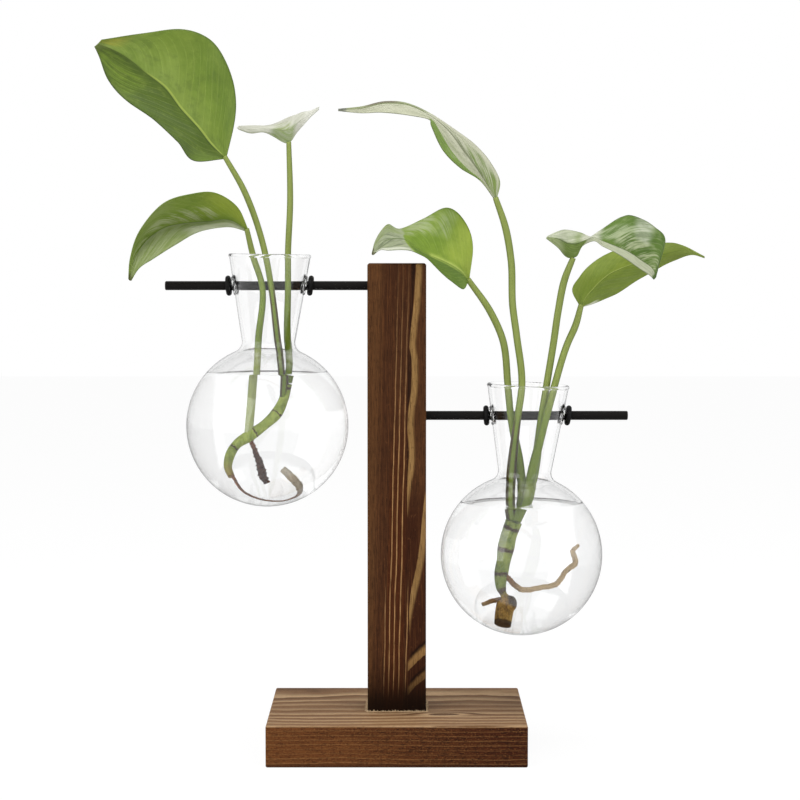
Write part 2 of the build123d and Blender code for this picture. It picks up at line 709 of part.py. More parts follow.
pieces = {
    "base_block": base_block,
    "upright_post": upright_post,
    "post_screws": post_screws,
    "upper_rod": upper_rod,
    "lower_rod": lower_rod,
    "left_bulb": left_bulb,
    "left_outer_ring": left_outer_ring,
    "left_inner_ring": left_inner_ring,
    "left_vine": left_vine,
    "left_petioles": left_petioles,
    "left_roots": left_roots,
    "left_large_leaf": left_large_leaf,
    "left_drooping_leaf": left_drooping_leaf,
    "left_young_leaf": left_young_leaf,
    "right_bulb": right_bulb,
    "right_inner_ring": right_inner_ring,
    "right_outer_ring": right_outer_ring,
    "right_vine": right_vine,
    "right_petioles": right_petioles,
    "right_roots": right_roots,
    "right_long_leaf": right_long_leaf,
    "right_arched_leaf": right_arched_leaf,
    "right_curled_leaf": right_curled_leaf,
    "right_rear_leaf": right_rear_leaf,
}
for piece_name, piece in pieces.items():
    piece.part.label = piece_name
    export_step(piece.part, f"parts/{piece_name}.step")
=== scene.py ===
from math import cos, pi, radians, sin, tan

import bpy
import numpy as np
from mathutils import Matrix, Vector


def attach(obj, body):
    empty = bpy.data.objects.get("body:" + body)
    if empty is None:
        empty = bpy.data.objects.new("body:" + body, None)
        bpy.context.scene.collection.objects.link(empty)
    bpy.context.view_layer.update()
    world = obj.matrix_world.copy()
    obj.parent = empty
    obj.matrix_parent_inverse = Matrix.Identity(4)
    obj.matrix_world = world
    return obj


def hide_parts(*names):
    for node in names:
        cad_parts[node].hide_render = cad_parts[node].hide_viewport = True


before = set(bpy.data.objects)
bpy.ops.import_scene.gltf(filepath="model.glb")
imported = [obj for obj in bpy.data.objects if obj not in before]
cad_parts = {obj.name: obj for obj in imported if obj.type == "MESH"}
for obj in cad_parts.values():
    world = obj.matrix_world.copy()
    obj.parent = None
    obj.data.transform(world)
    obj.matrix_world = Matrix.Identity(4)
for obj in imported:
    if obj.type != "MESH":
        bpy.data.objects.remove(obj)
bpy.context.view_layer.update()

# A propagation vase: a wooden stand with two rods, a glass bulb of water hanging on each, and a
# leafy cutting in each bulb. Sizes are in millimetres and become metres where a mesh is made.
MM = 0.001

# Sizes that the looks share with the frame
base_top = 18.0
post_top = 214.6
post_half = 12.8
upper_rod_level = 204.8
lower_rod_level = 147.6
bulb_radius = 35.7
glass_wall = 1.2
bulb_drop = 61.7
neck_radius_at_rod = 15.8
neck_flare = radians(9.4)
mouth_height = 13.0
waist_drop = 23.0
rod_radius = 2.0
stem_gap = 0.4
seat_gap = 0.3
leaf_gap = 0.6
root_radius = 0.7
stump_radius = 3.4
# The blades are shown thinner than their solids.
blade_thickness = 0.34
# The water stands this far above each bulb's centre.
water_level = {"left": 23.1, "right": 22.7}

# How high each leaf's petiole ends above its bulb's mouth, and how long the leaf is
leaf_reach = {
    "left_drooping": 10.6, "left_large": 42.0, "left_young": 48.6,
    "right_long": 81.0, "right_curled": 56.0, "right_rear": 35.4,
}
leaf_length = {
    "left_drooping": 62.0, "left_large": 77.0, "left_young": 38.0,
    "right_arched": 62.0, "right_long": 88.0, "right_curled": 52.0, "right_rear": 68.0,
}
# The arched leaf lies over the post, so its petiole ends as high as that leaf needs.
leaf_over_post = 1.7
arched_low_share = 0.17
arched_level = post_top + leaf_over_post - arched_low_share * leaf_length["right_arched"]
leaf_reach["right_arched"] = arched_level - lower_rod_level - mouth_height


class Socket:
    """An output of a shader node. Arithmetic on it adds Math nodes, so a pattern reads as a formula."""

    def __init__(self, finish, output):
        self.finish = finish
        self.output = output

    def math(self, operation, *values):
        return self.finish.node("Math", {"operation": operation}, dict(enumerate(values)))

    def __add__(self, other):
        return self.math("ADD", self, other)

    def __radd__(self, other):
        return self.math("ADD", other, self)

    def __sub__(self, other):
        return self.math("SUBTRACT", self, other)

    def __rsub__(self, other):
        return self.math("SUBTRACT", other, self)

    def __mul__(self, other):
        return self.math("MULTIPLY", self, other)

    def __rmul__(self, other):
        return self.math("MULTIPLY", other, self)

    def __truediv__(self, other):
        return self.math("DIVIDE", self, other)

    def __pow__(self, other):
        return self.math("POWER", self, other)

    def absolute(self):
        return self.math("ABSOLUTE", self)

    def fraction(self):
        return self.math("FRACT", self)

    def at_least(self, other):
        return self.math("MAXIMUM", self, other)

    def at_most(self, other):
        return self.math("MINIMUM", self, other)

    def ramp(self, low, high):
        """Smooth step from 0 at low to 1 at high, or down where low is above high."""
        settings = {"interpolation_type": "SMOOTHSTEP"}
        if low < high:
            return self.finish.node("MapRange", settings, {0: self, 1: low, 2: high})
        return 1 - self.finish.node("MapRange", settings, {0: self, 1: high, 2: low})

    def line(self, place, width):
        """One within half this width of a place, fading to nought at twice the width."""
        return (self - place).absolute().ramp(2 * width, 0.5 * width)


class Finish:
    """A material under construction, or the world's shader where its node tree is given."""

    def __init__(self, name, tree=None, out="ShaderNodeOutputMaterial"):
        if tree is None:
            self.material = bpy.data.materials.new(name)
            self.material.use_nodes = True
            tree = self.material.node_tree
            tree.nodes.clear()
        self.tree = tree
        self.out = tree.nodes.new(out)

    def node(self, kind, settings=None, values=None, output=0):
        """Add a node by its type: its settings are set first, then its sockets' values or links."""
        made = self.tree.nodes.new("ShaderNode" + kind)
        for key, value in (settings or {}).items():
            if key == "curve":
                points = made.mapping.curves[0].points
                points[0].location, points[1].location = value[0], value[-1]
                for place in value[1:-1]:
                    points.new(*place)
                made.mapping.update()
            else:
                setattr(made, key, value)
        for key, value in (values or {}).items():
            if isinstance(value, Socket):
                self.tree.links.new(value.output, made.inputs[key])
            else:
                made.inputs[key].default_value = value
        return Socket(self, made.outputs[output])

    def rays(self):
        """One where the camera, a gloss or a clear body looks, as three sockets."""
        kinds = ("Camera", "Glossy", "Transmission")
        return [self.node("LightPath", output=f"Is {kind} Ray") for kind in kinds]

    def place(self):
        """Object coordinates in millimetres as three sockets."""
        point = self.node("TexCoord", output=3)
        scaled = self.node("VectorMath", {"operation": "SCALE"}, {0: point, 3: 1 / MM})
        return [self.node("SeparateXYZ", values={0: scaled}, output=axis) for axis in range(3)]

    def surface_place(self):
        """The piece's own UV map as two sockets: along and across."""
        uv = self.node("UVMap", {"uv_map": "surface"})
        return [self.node("SeparateXYZ", values={0: uv}, output=axis) for axis in range(2)]

    def vector(self, *parts):
        return self.node("CombineXYZ", values=dict(enumerate(parts)))

    def cloud(self, place, detail=2.0, roughness=0.5):
        """Noise from 0 to 1 at a place given by three sockets or numbers."""
        values = {"Vector": self.vector(*place), "Scale": 1.0, "Detail": detail, "Roughness": roughness}
        return self.node("TexNoise", values=values)

    def noise(self, place, detail=2.0, roughness=0.5):
        """Noise about nought, from -1 to 1."""
        return self.cloud(place, detail, roughness) * 2 - 1

    def shade_between(self, share, first, second):
        """Finish with a share of one shader and the rest of another."""
        shader = self.node("MixShader", values={0: share, 1: first, 2: second})
        self.tree.links.new(shader.output, self.out.inputs["Surface"])

    def mix(self, share, first, second):
        """Colour between two colours."""
        return self.node("Mix", {"data_type": "RGBA"}, {0: share, 6: first, 7: second}, 2)

    def blend(self, colour, *layers):
        """Lay colours over a colour, each given as (share, colour)."""
        for share, layer in layers:
            colour = self.mix(share, colour, layer)
        return colour

    def bump(self, height, distance):
        """Normal from a height between 0 and 1 times a distance in millimetres."""
        return self.node("Bump", values={"Height": height, "Distance": distance * MM, "Strength": 1.0})

    def shade(self, **values):
        """Finish with one Principled shader; names are its sockets with underscores for spaces."""
        sockets = {name.replace("_", " "): value for name, value in values.items()}
        shader = self.node("BsdfPrincipled", values=sockets)
        self.tree.links.new(shader.output, self.out.inputs["Surface"])
        return self.material

    def absorb(self, colour, density):
        """Give the body of a clear solid its tint."""
        volume = self.node("VolumeAbsorption", values={"Color": colour, "Density": density})
        self.tree.links.new(volume.output, self.out.inputs["Volume"])


def rgb(red, green, blue):
    """A colour given in display numbers from 0 to 255, as linear values."""
    shares = [number / 255 for number in (red, green, blue)]
    linear = [((v + 0.055) / 1.055) ** 2.4 if v > 0.04045 else v / 12.92 for v in shares]
    return (*linear, 1.0)


# Meshes

def add_mesh(name, points, faces, uv=None):
    """A smooth mesh object from points in millimetres and faces of point numbers."""
    mesh = bpy.data.meshes.new(name)
    mesh.from_pydata((points * MM).tolist(), [], faces.tolist() if isinstance(faces, np.ndarray) else faces)
    mesh.shade_smooth()
    if uv is not None:
        layer = mesh.uv_layers.new(name="surface")
        corners = np.zeros(len(mesh.loops), int)
        mesh.loops.foreach_get("vertex_index", corners)
        layer.data.foreach_set("uv", uv[corners].astype(np.float32).ravel())
    piece = bpy.data.objects.new(name, mesh)
    bpy.context.scene.collection.objects.link(piece)
    return piece


def grid_faces(rows, columns, closed=False):
    """Quads of a grid of points in rows; a closed grid joins its last column to its first."""
    row = np.arange(rows - 1)[:, None] * columns
    column = np.arange(columns if closed else columns - 1)[None, :]
    after = (column + 1) % columns
    corners = [row + column, row + columns + column, row + columns + after, row + after]
    return np.stack(corners, -1).reshape(-1, 4)


def smooth(points, count):
    """Points on a Hermite curve through the given ones, whose slope at each is that between its
    neighbours; the curve's parameter is the distance along the first of the lines given."""
    points = np.asarray(points, float)
    line = points.reshape(len(points), -1)[:, :3]
    steps = np.maximum(np.linalg.norm(np.diff(line, axis=0), axis=1), 1e-6)
    knots = np.concatenate([[0], np.cumsum(steps)])
    slopes = np.gradient(points, knots, axis=0)
    at = np.linspace(0, knots[-1], count)
    index = np.clip(np.searchsorted(knots, at, "right") - 1, 0, len(knots) - 2)
    width = (knots[index + 1] - knots[index]).reshape(-1, *[1] * (points.ndim - 1))
    share = (at - knots[index]).reshape(width.shape) / width
    low, high = points[index], points[index + 1]
    return (
        (1 + 2 * share) * (1 - share) ** 2 * low
        + share * (1 - share) ** 2 * width * slopes[index]
        + share**2 * (3 - 2 * share) * high
        + share**2 * (share - 1) * width * slopes[index + 1]
    )


def unit(vectors):
    return vectors / np.maximum(np.linalg.norm(vectors, axis=-1, keepdims=True), 1e-9)


def tube(name, route, radii, sides=24, count=120, relief=None):
    """Round tube along a smooth route: rings square to it, whose radius follows the given radii.
    UV is the distance along in millimetres and the turn from 0 to 1."""
    stations = smooth(np.concatenate([route, np.asarray(radii)[:, None]], 1), count)
    line, radius = stations[:, :3], stations[:, 3]
    forward = unit(np.gradient(line, axis=0))
    side = unit(np.cross(forward, [0, 1, 0]))
    front = np.cross(side, forward)
    turn = np.linspace(0, 1, sides + 1)
    along = np.concatenate([[0], np.cumsum(np.linalg.norm(np.diff(line, axis=0), axis=1))])
    reach = radius[:, None] * np.ones(sides + 1)
    if relief is not None:
        reach = reach + relief(along[:, None], turn[None, :])
    angle = 2 * pi * turn[None, :, None]
    spokes = side[:, None] * np.cos(angle) + front[:, None] * np.sin(angle)
    rings = line[:, None] + reach[..., None] * spokes
    # The seam's two columns lie together so that the UV map stays whole; the ends close on one point.
    points = np.concatenate([rings.reshape(-1, 3), line[:1], line[-1:]])
    uv = np.stack(np.broadcast_arrays(along[:, None], turn[None, :]), -1).reshape(-1, 2)
    uv = np.concatenate([uv, [[0, 0.5]], [[along[-1], 0.5]]])
    faces = grid_faces(count, sides + 1).tolist()
    first, last = len(points) - 2, len(points) - 1
    end = (count - 1) * (sides + 1)
    faces += [[first, i, i + 1] for i in range(sides)]
    faces += [[last, end + i + 1, end + i] for i in range(sides)]
    return add_mesh(name, points, faces, uv)


def join(name, pieces):
    """One object from several."""
    with bpy.context.temp_override(
        active_object=pieces[0], selected_editable_objects=pieces, object=pieces[0]
    ):
        bpy.ops.object.join()
    pieces[0].name = name
    pieces[0].data.name = name
    return pieces[0]


# Places in the bulbs: across, up and to the front from the hanging point, in each bulb's own frame

# Where each bulb hangs on its rod, and how far its mouth leans to the right
bulbs = {
    "left": (np.array([-56.0, 0, upper_rod_level]), radians(1.0)),
    "right": (np.array([57.4, 0, lower_rod_level]), radians(2.1)),
}


def neck_inner_radius(level):
    return neck_radius_at_rod - glass_wall / cos(neck_flare) + level * tan(neck_flare)


def in_world(side, places):
    """Points of a bulb's frame in the object's frame."""
    hang, lean = bulbs[side]
    axes = np.array([[cos(lean), 0, -sin(lean)], [sin(lean), 0, cos(lean)], [0, -1, 0]])
    return hang + np.asarray(places, float) @ axes


def in_bulb(across, up, front):
    inner = bulb_radius - glass_wall
    return (across * inner, up * inner - bulb_drop, front * inner)


def bulb_places(*places):
    return [in_bulb(*shares) for shares in places]


def on_glass(across, up, front, radius):
    direction = unit(np.array([across, up, front])) * (bulb_radius - glass_wall - radius - seat_gap)
    return (direction[0], direction[1] - bulb_drop, direction[2])


def in_neck(level, across, front, radius):
    room = neck_inner_radius(level) - radius - seat_gap
    return (across * room, level, front * room)


def before_rod(across, layer, radius):
    room = neck_inner_radius(0) - radius - seat_gap
    return (across * room, 0, rod_radius + stem_gap + radius + layer * (2 * radius + stem_gap))


def above_mouth(reach, across, up, front):
    return (across * reach, mouth_height + up * reach, front * reach)


# Stage, light and camera

def stage_floor():
    """Wide floor that shows white to the camera, keeps a little of the object's shadow and shows
    darker in a gloss."""
    size, below = 3000.0, -0.05
    corners = [[-size, -size, below], [size, -size, below], [size, size, below], [-size, size, below]]
    floor = add_mesh("floor", np.array(corners), [[0, 1, 2, 3]])
    finish = Finish("floor_white")
    seen, glossy, passed = finish.rays()
    share = (seen * 0.9 + glossy * 0.35 + passed).at_most(1.0)
    paint = finish.mix(glossy, (0.86, 0.86, 0.86, 1), (0.25, 0.25, 0.25, 1))
    plain = finish.node("BsdfDiffuse", values={"Color": paint})
    white = finish.node("Emission", values={"Color": (1, 1, 1, 1), "Strength": 1.05})
    finish.shade_between(share, plain, white)
    floor.data.materials.append(finish.material)


def stage_world():
    """Soft even light, and white where the camera or clear glass looks. Gloss shows it less bright,
    so that the glass mirrors little and keeps its outlines."""
    world = bpy.data.worlds.new("studio")
    bpy.context.scene.world = world
    world.use_nodes = True
    world.node_tree.nodes.clear()
    finish = Finish("studio", world.node_tree, "ShaderNodeOutputWorld")
    seen, glossy, passed = finish.rays()
    share = (seen + passed + glossy * 0.5).at_most(1.0)
    soft = finish.node("Background", values={"Color": (1, 1, 1, 1), "Strength": 0.33})
    white = finish.node("Background", values={"Color": (1, 1, 1, 1), "Strength": 1.0})
    finish.shade_between(share, soft, white)


def soft_lamp(name, place, target, size, power, mirrored=True):
    """Square area lamp at a place, facing a target, both in millimetres. One that isn't mirrored
    lights the object but leaves no window shape in the glass."""
    data = bpy.data.lights.new(name, "AREA")
    data.shape = "SQUARE"
    data.size = size * MM
    data.energy = power
    lamp = bpy.data.objects.new(name, data)
    bpy.context.scene.collection.objects.link(lamp)
    place, target = np.array(place, float), np.array(target, float)
    lamp.location = place * MM
    back = Vector((place - target) * MM)
    lamp.rotation_euler = back.to_track_quat("Z", "Y").to_euler()
    lamp.visible_glossy = mirrored
    lamp.visible_transmission = mirrored


def stage_camera():
    """The photograph's camera: a long lens a little above the post, tipped slightly down."""
    place = np.array([1.4, -1039.5, 222.0])
    tip = radians(3.72)
    data = bpy.data.cameras.new("camera")
    data.sensor_width = 36
    data.lens = 106.3
    data.clip_start = 0.05
    camera = bpy.data.objects.new("camera", data)
    bpy.context.scene.collection.objects.link(camera)
    camera.location = place * MM
    camera.rotation_euler = (pi / 2 - tip, 0, 0)
    bpy.context.scene.camera = camera


# Finishes of the stand

def post_wood():
    """Dark stained post. Growth rings stand upright and drift left going down the front face: faint
    brown lines on the left, thin light ones in the middle, and at the right the ochre soft wood of
    one ring, which runs out in tongues because the trunk was wavy. The rings are circles about a pith
    behind the post and to its left, so the right face shows them too and the top end shows arcs."""
    finish = Finish("post_wood")
    x, y, z = finish.place()
    pith_x, pith_y = -46.0, 30.0
    radius = ((x - pith_x) ** 2 + (y - pith_y) ** 2) ** 0.5
    # A ring is named by the place across the front face where it comes out.
    front = (radius * radius - (post_half + pith_y) ** 2).at_least(0.0) ** 0.5 + pith_x
    waver = finish.noise((x * 0.10, y * 0.10, z * 0.030), 1.0) * 0.45
    waver = waver + finish.noise((x * 0.3, y * 0.3, z * 0.10 + 9), 1.0) * 0.16
    ring = front - (z - 100) * 0.024 + waver
    fine = finish.cloud((x * 2.6, y * 2.6, z * 0.045), 3.0, 0.62)
    grain = finish.cloud((x * 1.1, y * 1.1, z * 0.020 + 3), 2.0, 0.6)
    pores = finish.cloud((x * 5.0, y * 5.0, z * 0.14 + 3), 2.0, 0.6)
    cloud = finish.cloud((x * 0.09, y * 0.09, z * 0.022 + 7), 2.0)
    flecks = finish.cloud((x * 0.9, y * 0.9, z * 0.5), 3.0, 0.7)

    edge = front + waver * 0.6 + (fine - 0.5) * 0.5

    def ochre_rim(*shares):
        """Left rim of the ochre ring by height, from shares of 220 mm and of the front face."""
        share = finish.node("FloatCurve", {"curve": shares}, {"Value": z / 220})
        return share * (2 * post_half) - post_half

    upper_rim = ochre_rim(
        (0.0, 0.68), (0.50, 0.68), (0.54, 0.68), (0.60, 0.70), (0.665, 0.685), (0.73, 0.745),
        (0.785, 0.75), (0.815, 0.72), (0.84, 0.735), (0.89, 0.78), (0.93, 0.805), (1.0, 0.83),
    )
    lower_rim = ochre_rim(
        (0.0, 0.70), (0.25, 0.71), (0.295, 0.715), (0.355, 0.80), (0.385, 0.85), (0.42, 0.89),
        (0.45, 0.915), (0.49, 0.95), (0.53, 0.99), (1.0, 1.0),
    )

    def tongue(rim, width, foot, tip):
        """Ochre from its crisp rim to a soft right side, narrowing to a point at its foot."""
        room = z.ramp(foot, tip) * width
        inside = (edge - rim).ramp(-0.12, 0.25) * (edge - rim - room).ramp(0.9, -0.7)
        return inside * z.ramp(foot - 1, foot + 3)

    def flame(level, thickness):
        """Slanting outcrop low on the right, rising to the right edge, and the dark line above it."""
        rise = edge - 5.0
        slant = z - level - rise * 1.25 + rise * rise * 0.035 + (flecks - 0.5) * 2.0
        body = slant.ramp(-thickness, 0.6 - thickness) * slant.ramp(thickness, 0.0)
        rim = slant.ramp(thickness * 0.4, thickness * 0.7) * slant.ramp(thickness + 1.6, thickness)
        return body * edge.ramp(4.6, 5.4), rim * edge.ramp(5.0, 7.0)

    band = tongue(upper_rim, 2.5, 104, 128) + tongue(lower_rim, 2.6, 52, 74) * z.ramp(122, 112)
    upper_flame, upper_rim_line = flame(38.5, 2.9)
    lower_flame, lower_rim_line = flame(27.5, 2.4)
    faint = ring.line(-6.4, 0.22) * 0.5 + ring.line(-8.1, 0.2)
    faint = faint + ring.line(-9.9, 0.22) + ring.line(-11.6, 0.22)
    bright = z.ramp(235, 110) * z.ramp(22, 34)
    broken = finish.cloud((ring * 2.0, z * 0.05, 5), 2.0, 0.6)
    low_only = z.ramp(78, 62)
    lines = ring.line(-2.0, 0.17) + ring.line(0.15, 0.18) + ring.line(2.5, 0.19)
    lines = lines + (ring.line(-4.0, 0.15) * 0.8 + ring.line(5.6, 0.16)) * low_only
    lines = lines * bright * broken.ramp(0.16, 0.5)
    behind_dark = ring.ramp(3.0, 3.7) * (upper_rim - edge).ramp(-0.1, 0.5) * z.ramp(104, 130)
    right_side = (edge - upper_rim).ramp(0.0, 0.5)

    colour = finish.mix(cloud * 0.6 + fine * 0.4, rgb(58, 32, 18), rgb(90, 54, 31))
    colour = finish.blend(
        colour,
        (ring.ramp(-7.0, -11.0) * 0.55, rgb(108, 72, 41)),
        (faint * 0.22 * grain, rgb(150, 104, 62)),
        ((ring - 0.4).absolute().ramp(4.6, 3.4) * z.ramp(170, 100) * 0.75, rgb(80, 38, 15)),
        (z.ramp(118, 96) * edge.ramp(2.6, 4.0) * 0.65, rgb(60, 28, 14)),
        (right_side * z.ramp(110, 128) * 0.75, rgb(86, 54, 30)),
        (right_side * z.ramp(110, 128) * grain.ramp(0.55, 0.75) * 0.7, rgb(56, 31, 22)),
        (behind_dark * 0.9, rgb(36, 20, 12)),
        (fine.ramp(0.50, 0.68) * 0.42, rgb(118, 74, 40)),
        (lines * 0.8, rgb(204, 156, 102)),
        (band * 0.92, finish.mix(fine, rgb(122, 90, 46), rgb(196, 154, 98))),
        ((upper_rim_line + lower_rim_line) * 0.85, rgb(26, 11, 5)),
        ((upper_flame + lower_flame * 0.75) * 0.92, finish.mix(fine, rgb(128, 92, 48), rgb(196, 152, 96))),
        (pores.ramp(0.49, 0.64) * 0.65, rgb(36, 18, 9)),
        (flecks.ramp(0.58, 0.74) * 0.35, rgb(126, 80, 46)),
        (flecks.ramp(0.44, 0.30) * 0.35, rgb(42, 20, 10)),
        # Darker towards the foot: painted shade where the post meets the base.
        (z.ramp(46, 22) * (0.35 + cloud * 0.5), rgb(28, 12, 4)),
        (z.ramp(32, 20) * 0.75, rgb(12, 6, 2)),
    )
    relief = lines * 0.5 + band * 0.4 + fine * 0.3 - pores.ramp(0.6, 0.85) * 0.4 + 0.4
    return finish.shade(
        Base_Color=colour,
        Roughness=0.5 + fine * 0.1,
        Normal=finish.bump(relief, 0.16),
        Specular_IOR_Level=0.08,
    )


def base_wood():
    """Brushed and stained block. The rings run along it as circles about a pith far below: close
    lines on the front edge, wide light streaks on the top, where the soft wood is brushed out between
    them, and arcs at its ends. A knot lies under the top, to the right of the post, and bends them."""
    finish = Finish("base_wood")
    x, y, z = finish.place()
    bend = finish.noise((x * 0.012, y * 0.03, z * 0.05), 1.0) * 1.7
    bend = bend + finish.noise((x * 0.045, y * 0.09, z * 0.09 + 5), 2.0, 0.6) * 0.6
    knot_reach = (((x - 20) / 20) ** 2 + ((y + 17) / 7) ** 2 + ((z - base_top) / 7) ** 2) ** 0.5
    knot = knot_reach.ramp(1.0, 0.0)
    pith_y, pith_z = 70.0, -330.0
    radius = ((y - pith_y) ** 2 + (z - pith_z) ** 2) ** 0.5
    turn = (radius + bend + knot * 2.6) / 1.95
    ring = turn.fraction()
    number = finish.node("TexWhiteNoise", {"noise_dimensions": "1D"}, {"W": turn - ring})
    late = ring.ramp(0.35, 0.85) * ring.ramp(1.0, 0.93)
    thin = ring.ramp(0.62, 0.80) * ring.ramp(0.98, 0.84)
    fibre = finish.cloud((x * 0.07, y * 2.8, z * 2.8), 3.0, 0.65)
    speck = finish.cloud((x * 0.55, y * 2.4, z * 2.4 + 8), 3.0, 0.7)
    fleck = finish.cloud((x * 1.3, y * 2.0, z * 2.0 + 3), 2.0, 0.7)
    cloud = finish.cloud((x * 0.03, y * 0.06, z * 0.14 + 2), 2.0)
    top = z.ramp(base_top - 0.9, base_top - 0.2)
    to_right = (x + cloud * 30).ramp(-30, 70)
    edge = finish.mix(to_right, rgb(118, 70, 34), rgb(70, 30, 10))
    edge = finish.blend(
        edge,
        (cloud.ramp(0.45, 0.75) * 0.45, rgb(84, 44, 18)),
        (fibre.ramp(0.5, 0.75) * 0.5, rgb(142, 94, 50)),
        (thin * (0.2 + number * 0.4) * speck.ramp(0.25, 0.5), rgb(176, 126, 76)),
        (speck.ramp(0.49, 0.60) * (0.5 + to_right * 0.35), rgb(44, 19, 7)),
        (fleck.ramp(0.56, 0.66) * 0.5, rgb(158, 108, 62)),
        (fleck.ramp(0.44, 0.36) * 0.5, rgb(46, 21, 8)),
        # Darker along the bottom edge: painted shade where the base meets the floor.
        (z.ramp(2.2, 0.6) * 0.6, rgb(52, 27, 12)),
    )
    face = finish.mix(cloud, rgb(122, 86, 56), rgb(160, 122, 86))
    face = finish.blend(
        face,
        (late * (0.35 + number * 0.5), rgb(232, 196, 152)),
        (fleck.ramp(0.58, 0.72) * 0.4, rgb(214, 178, 134)),
        (ring.ramp(0.30, 0.12) * number.ramp(0.2, 0.9) * 0.6, rgb(92, 62, 38)),
        (fibre.ramp(0.48, 0.78) * 0.45, rgb(186, 148, 106)),
        (speck.ramp(0.52, 0.66) * 0.4, rgb(88, 56, 32)),
        (knot_reach.ramp(1.25, 0.5) * ring.ramp(0.5, 0.1) * 0.75, rgb(70, 46, 30)),
        (knot_reach.ramp(1.1, 0.5) * fleck.ramp(0.6, 0.75) * 0.7, rgb(220, 190, 150)),
    )
    relief = late * 0.6 + fibre * 0.3 + 0.1
    return finish.shade(
        Base_Color=finish.mix(top, edge, face),
        Roughness=0.6 + fibre * 0.1,
        Normal=finish.bump(relief, 0.35),
        Specular_IOR_Level=0.12,
    )


def black_steel():
    """Satin black bar with faint lengthwise brushing."""
    finish = Finish("black_steel")
    x, y, z = finish.place()
    streak = finish.noise((x * 0.3, y * 6.0, z * 6.0), 3.0, 0.6)
    return finish.shade(
        Base_Color=finish.mix(streak * 0.5 + 0.5, rgb(13, 12, 11), rgb(24, 21, 19)),
        Roughness=0.42 + streak * 0.06,
        Normal=finish.bump(streak * 0.5 + 0.5, 0.01),
        Specular_IOR_Level=0.16,
    )


def ring_rubber():
    """Black rubber with a dull, very slightly dimpled skin."""
    finish = Finish("ring_rubber")
    x, y, z = finish.place()
    grain = finish.noise((x * 2.5, y * 2.5, z * 2.5), 2.0)
    return finish.shade(
        Base_Color=finish.mix(grain * 0.5 + 0.5, rgb(10, 10, 10), rgb(20, 19, 19)),
        Roughness=0.55 + grain * 0.06,
        Normal=finish.bump(grain * 0.5 + 0.5, 0.03),
        Specular_IOR_Level=0.2,
    )


def screw_steel():
    """Zinc-plated steel with a fine turned finish."""
    finish = Finish("screw_steel")
    x, y, z = finish.place()
    turned = finish.noise((x * 0.5, y * 0.5, z * 9.0), 2.0)
    return finish.shade(
        Base_Color=finish.mix(turned * 0.5 + 0.5, rgb(150, 150, 152), rgb(190, 190, 192)),
        Metallic=1.0,
        Roughness=0.36 + turned * 0.08,
    )


def clear_glass():
    """Colourless blown glass that draws grey lines where it is seen edge on. The lines are uneven, as the
    blown wall is, and brown on the side that has the wooden post beside it, a painted reflection of the
    post."""
    finish = Finish("clear_glass")
    x, y, z = finish.place()
    edge_on = finish.node("LayerWeight", values={"Blend": 0.5}, output=1)
    uneven = finish.cloud((x * 0.022, y * 0.022, z * 0.022), 1.0)
    line = edge_on.ramp(0.74, 0.98) * (0.55 + uneven * 0.45)
    # Painted reflection of the wooden post: it stands between the bulbs, so the brown flanks are the two
    # that face each other.
    left_post_reflection = x.ramp(-32, -24) * z.ramp(178, 162) * z.ramp(100, 128)
    right_post_reflection = (x.ramp(33, 25) - x.ramp(0, -10)) * z.ramp(108, 98) * z.ramp(52, 72)
    post_reflection = (left_post_reflection * x.ramp(10, 0) + right_post_reflection) * edge_on.ramp(0.66, 0.80) * (0.6 + uneven * 0.4)
    finish.absorb((0.80, 0.84, 0.84, 1), 8.0)
    clear = finish.mix(line, (1, 1, 1, 1), rgb(112, 114, 114))
    return finish.shade(
        Base_Color=finish.mix(post_reflection * 0.55, clear, rgb(112, 86, 70)),
        Roughness=0.0,
        IOR=1.5,
        Transmission_Weight=1.0,
    )


def clear_water(name, tint):
    """Clear tap water."""
    finish = Finish(name)
    finish.absorb((0.90, 0.93, 0.92, 1), 2.0)
    return finish.shade(Base_Color=tint, Roughness=0.0, IOR=1.333, Transmission_Weight=1.0)


# Water

def water_body(side, level):
    """Water in a bulb: a solid of revolution about the upright through the bulb's centre. Below, it
    follows the glass and reaches a little into its wall, so that no air shows between the two. At the
    edge its surface climbs as an exponential curve."""
    centre = in_world(side, (0, -bulb_drop, 0))
    into_glass = 0.4
    reach = bulb_radius - glass_wall + into_glass
    climb, run = 0.5, 0.8
    fine_to, coarse_from = 9.0, 9.8
    contact = level + climb
    low = np.linspace(-pi / 2, np.arcsin(contact / reach), 90)
    wall = np.stack([reach * np.cos(low), reach * np.sin(low)], 1)
    edge = wall[-1, 0]
    inward = np.concatenate([np.linspace(0, fine_to, 28), np.linspace(coarse_from, edge, 26)])[1:]
    flat = np.stack([edge - inward, level + climb * np.exp(-inward / run)], 1)
    profile = np.concatenate([wall, flat])
    turns = 160
    angle = np.linspace(0, 2 * pi, turns, endpoint=False)
    rings = np.stack(
        [
            profile[1:-1, None, 0] * np.cos(angle),
            profile[1:-1, None, 0] * np.sin(angle),
            profile[1:-1, None, 1] * np.ones(turns),
        ],
        -1,
    )
    count = len(profile) - 2
    ends = np.array([[0, 0, profile[0, 1]], [0, 0, profile[-1, 1]]])
    points = np.concatenate([rings.reshape(-1, 3), ends]) + centre
    # Rows climb and columns turn anticlockwise, so that quads taken this way face outwards.
    faces = grid_faces(count, turns, closed=True)[:, ::-1].tolist()
    bottom, top = count * turns, count * turns + 1
    last = (count - 1) * turns
    faces += [[bottom, (i + 1) % turns, i] for i in range(turns)]
    faces += [[top, last + i, last + (i + 1) % turns] for i in range(turns)]
    piece = add_mesh(side + "_water", points, faces)
    piece.data.materials.append(clear_water("clear_water", (1, 1, 1, 1)))
    # The climbing rim is tinted grey: painted shade that draws the thin line round the water's edge.
    piece.data.materials.append(clear_water("water_rim", rgb(188, 188, 182)))
    slots = np.zeros(len(faces), np.int32)
    slots[(len(wall) - 1) * turns : (len(wall) + 1) * turns] = 1
    piece.data.polygons.foreach_set("material_index", slots)
    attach(piece, side + "_vessel")


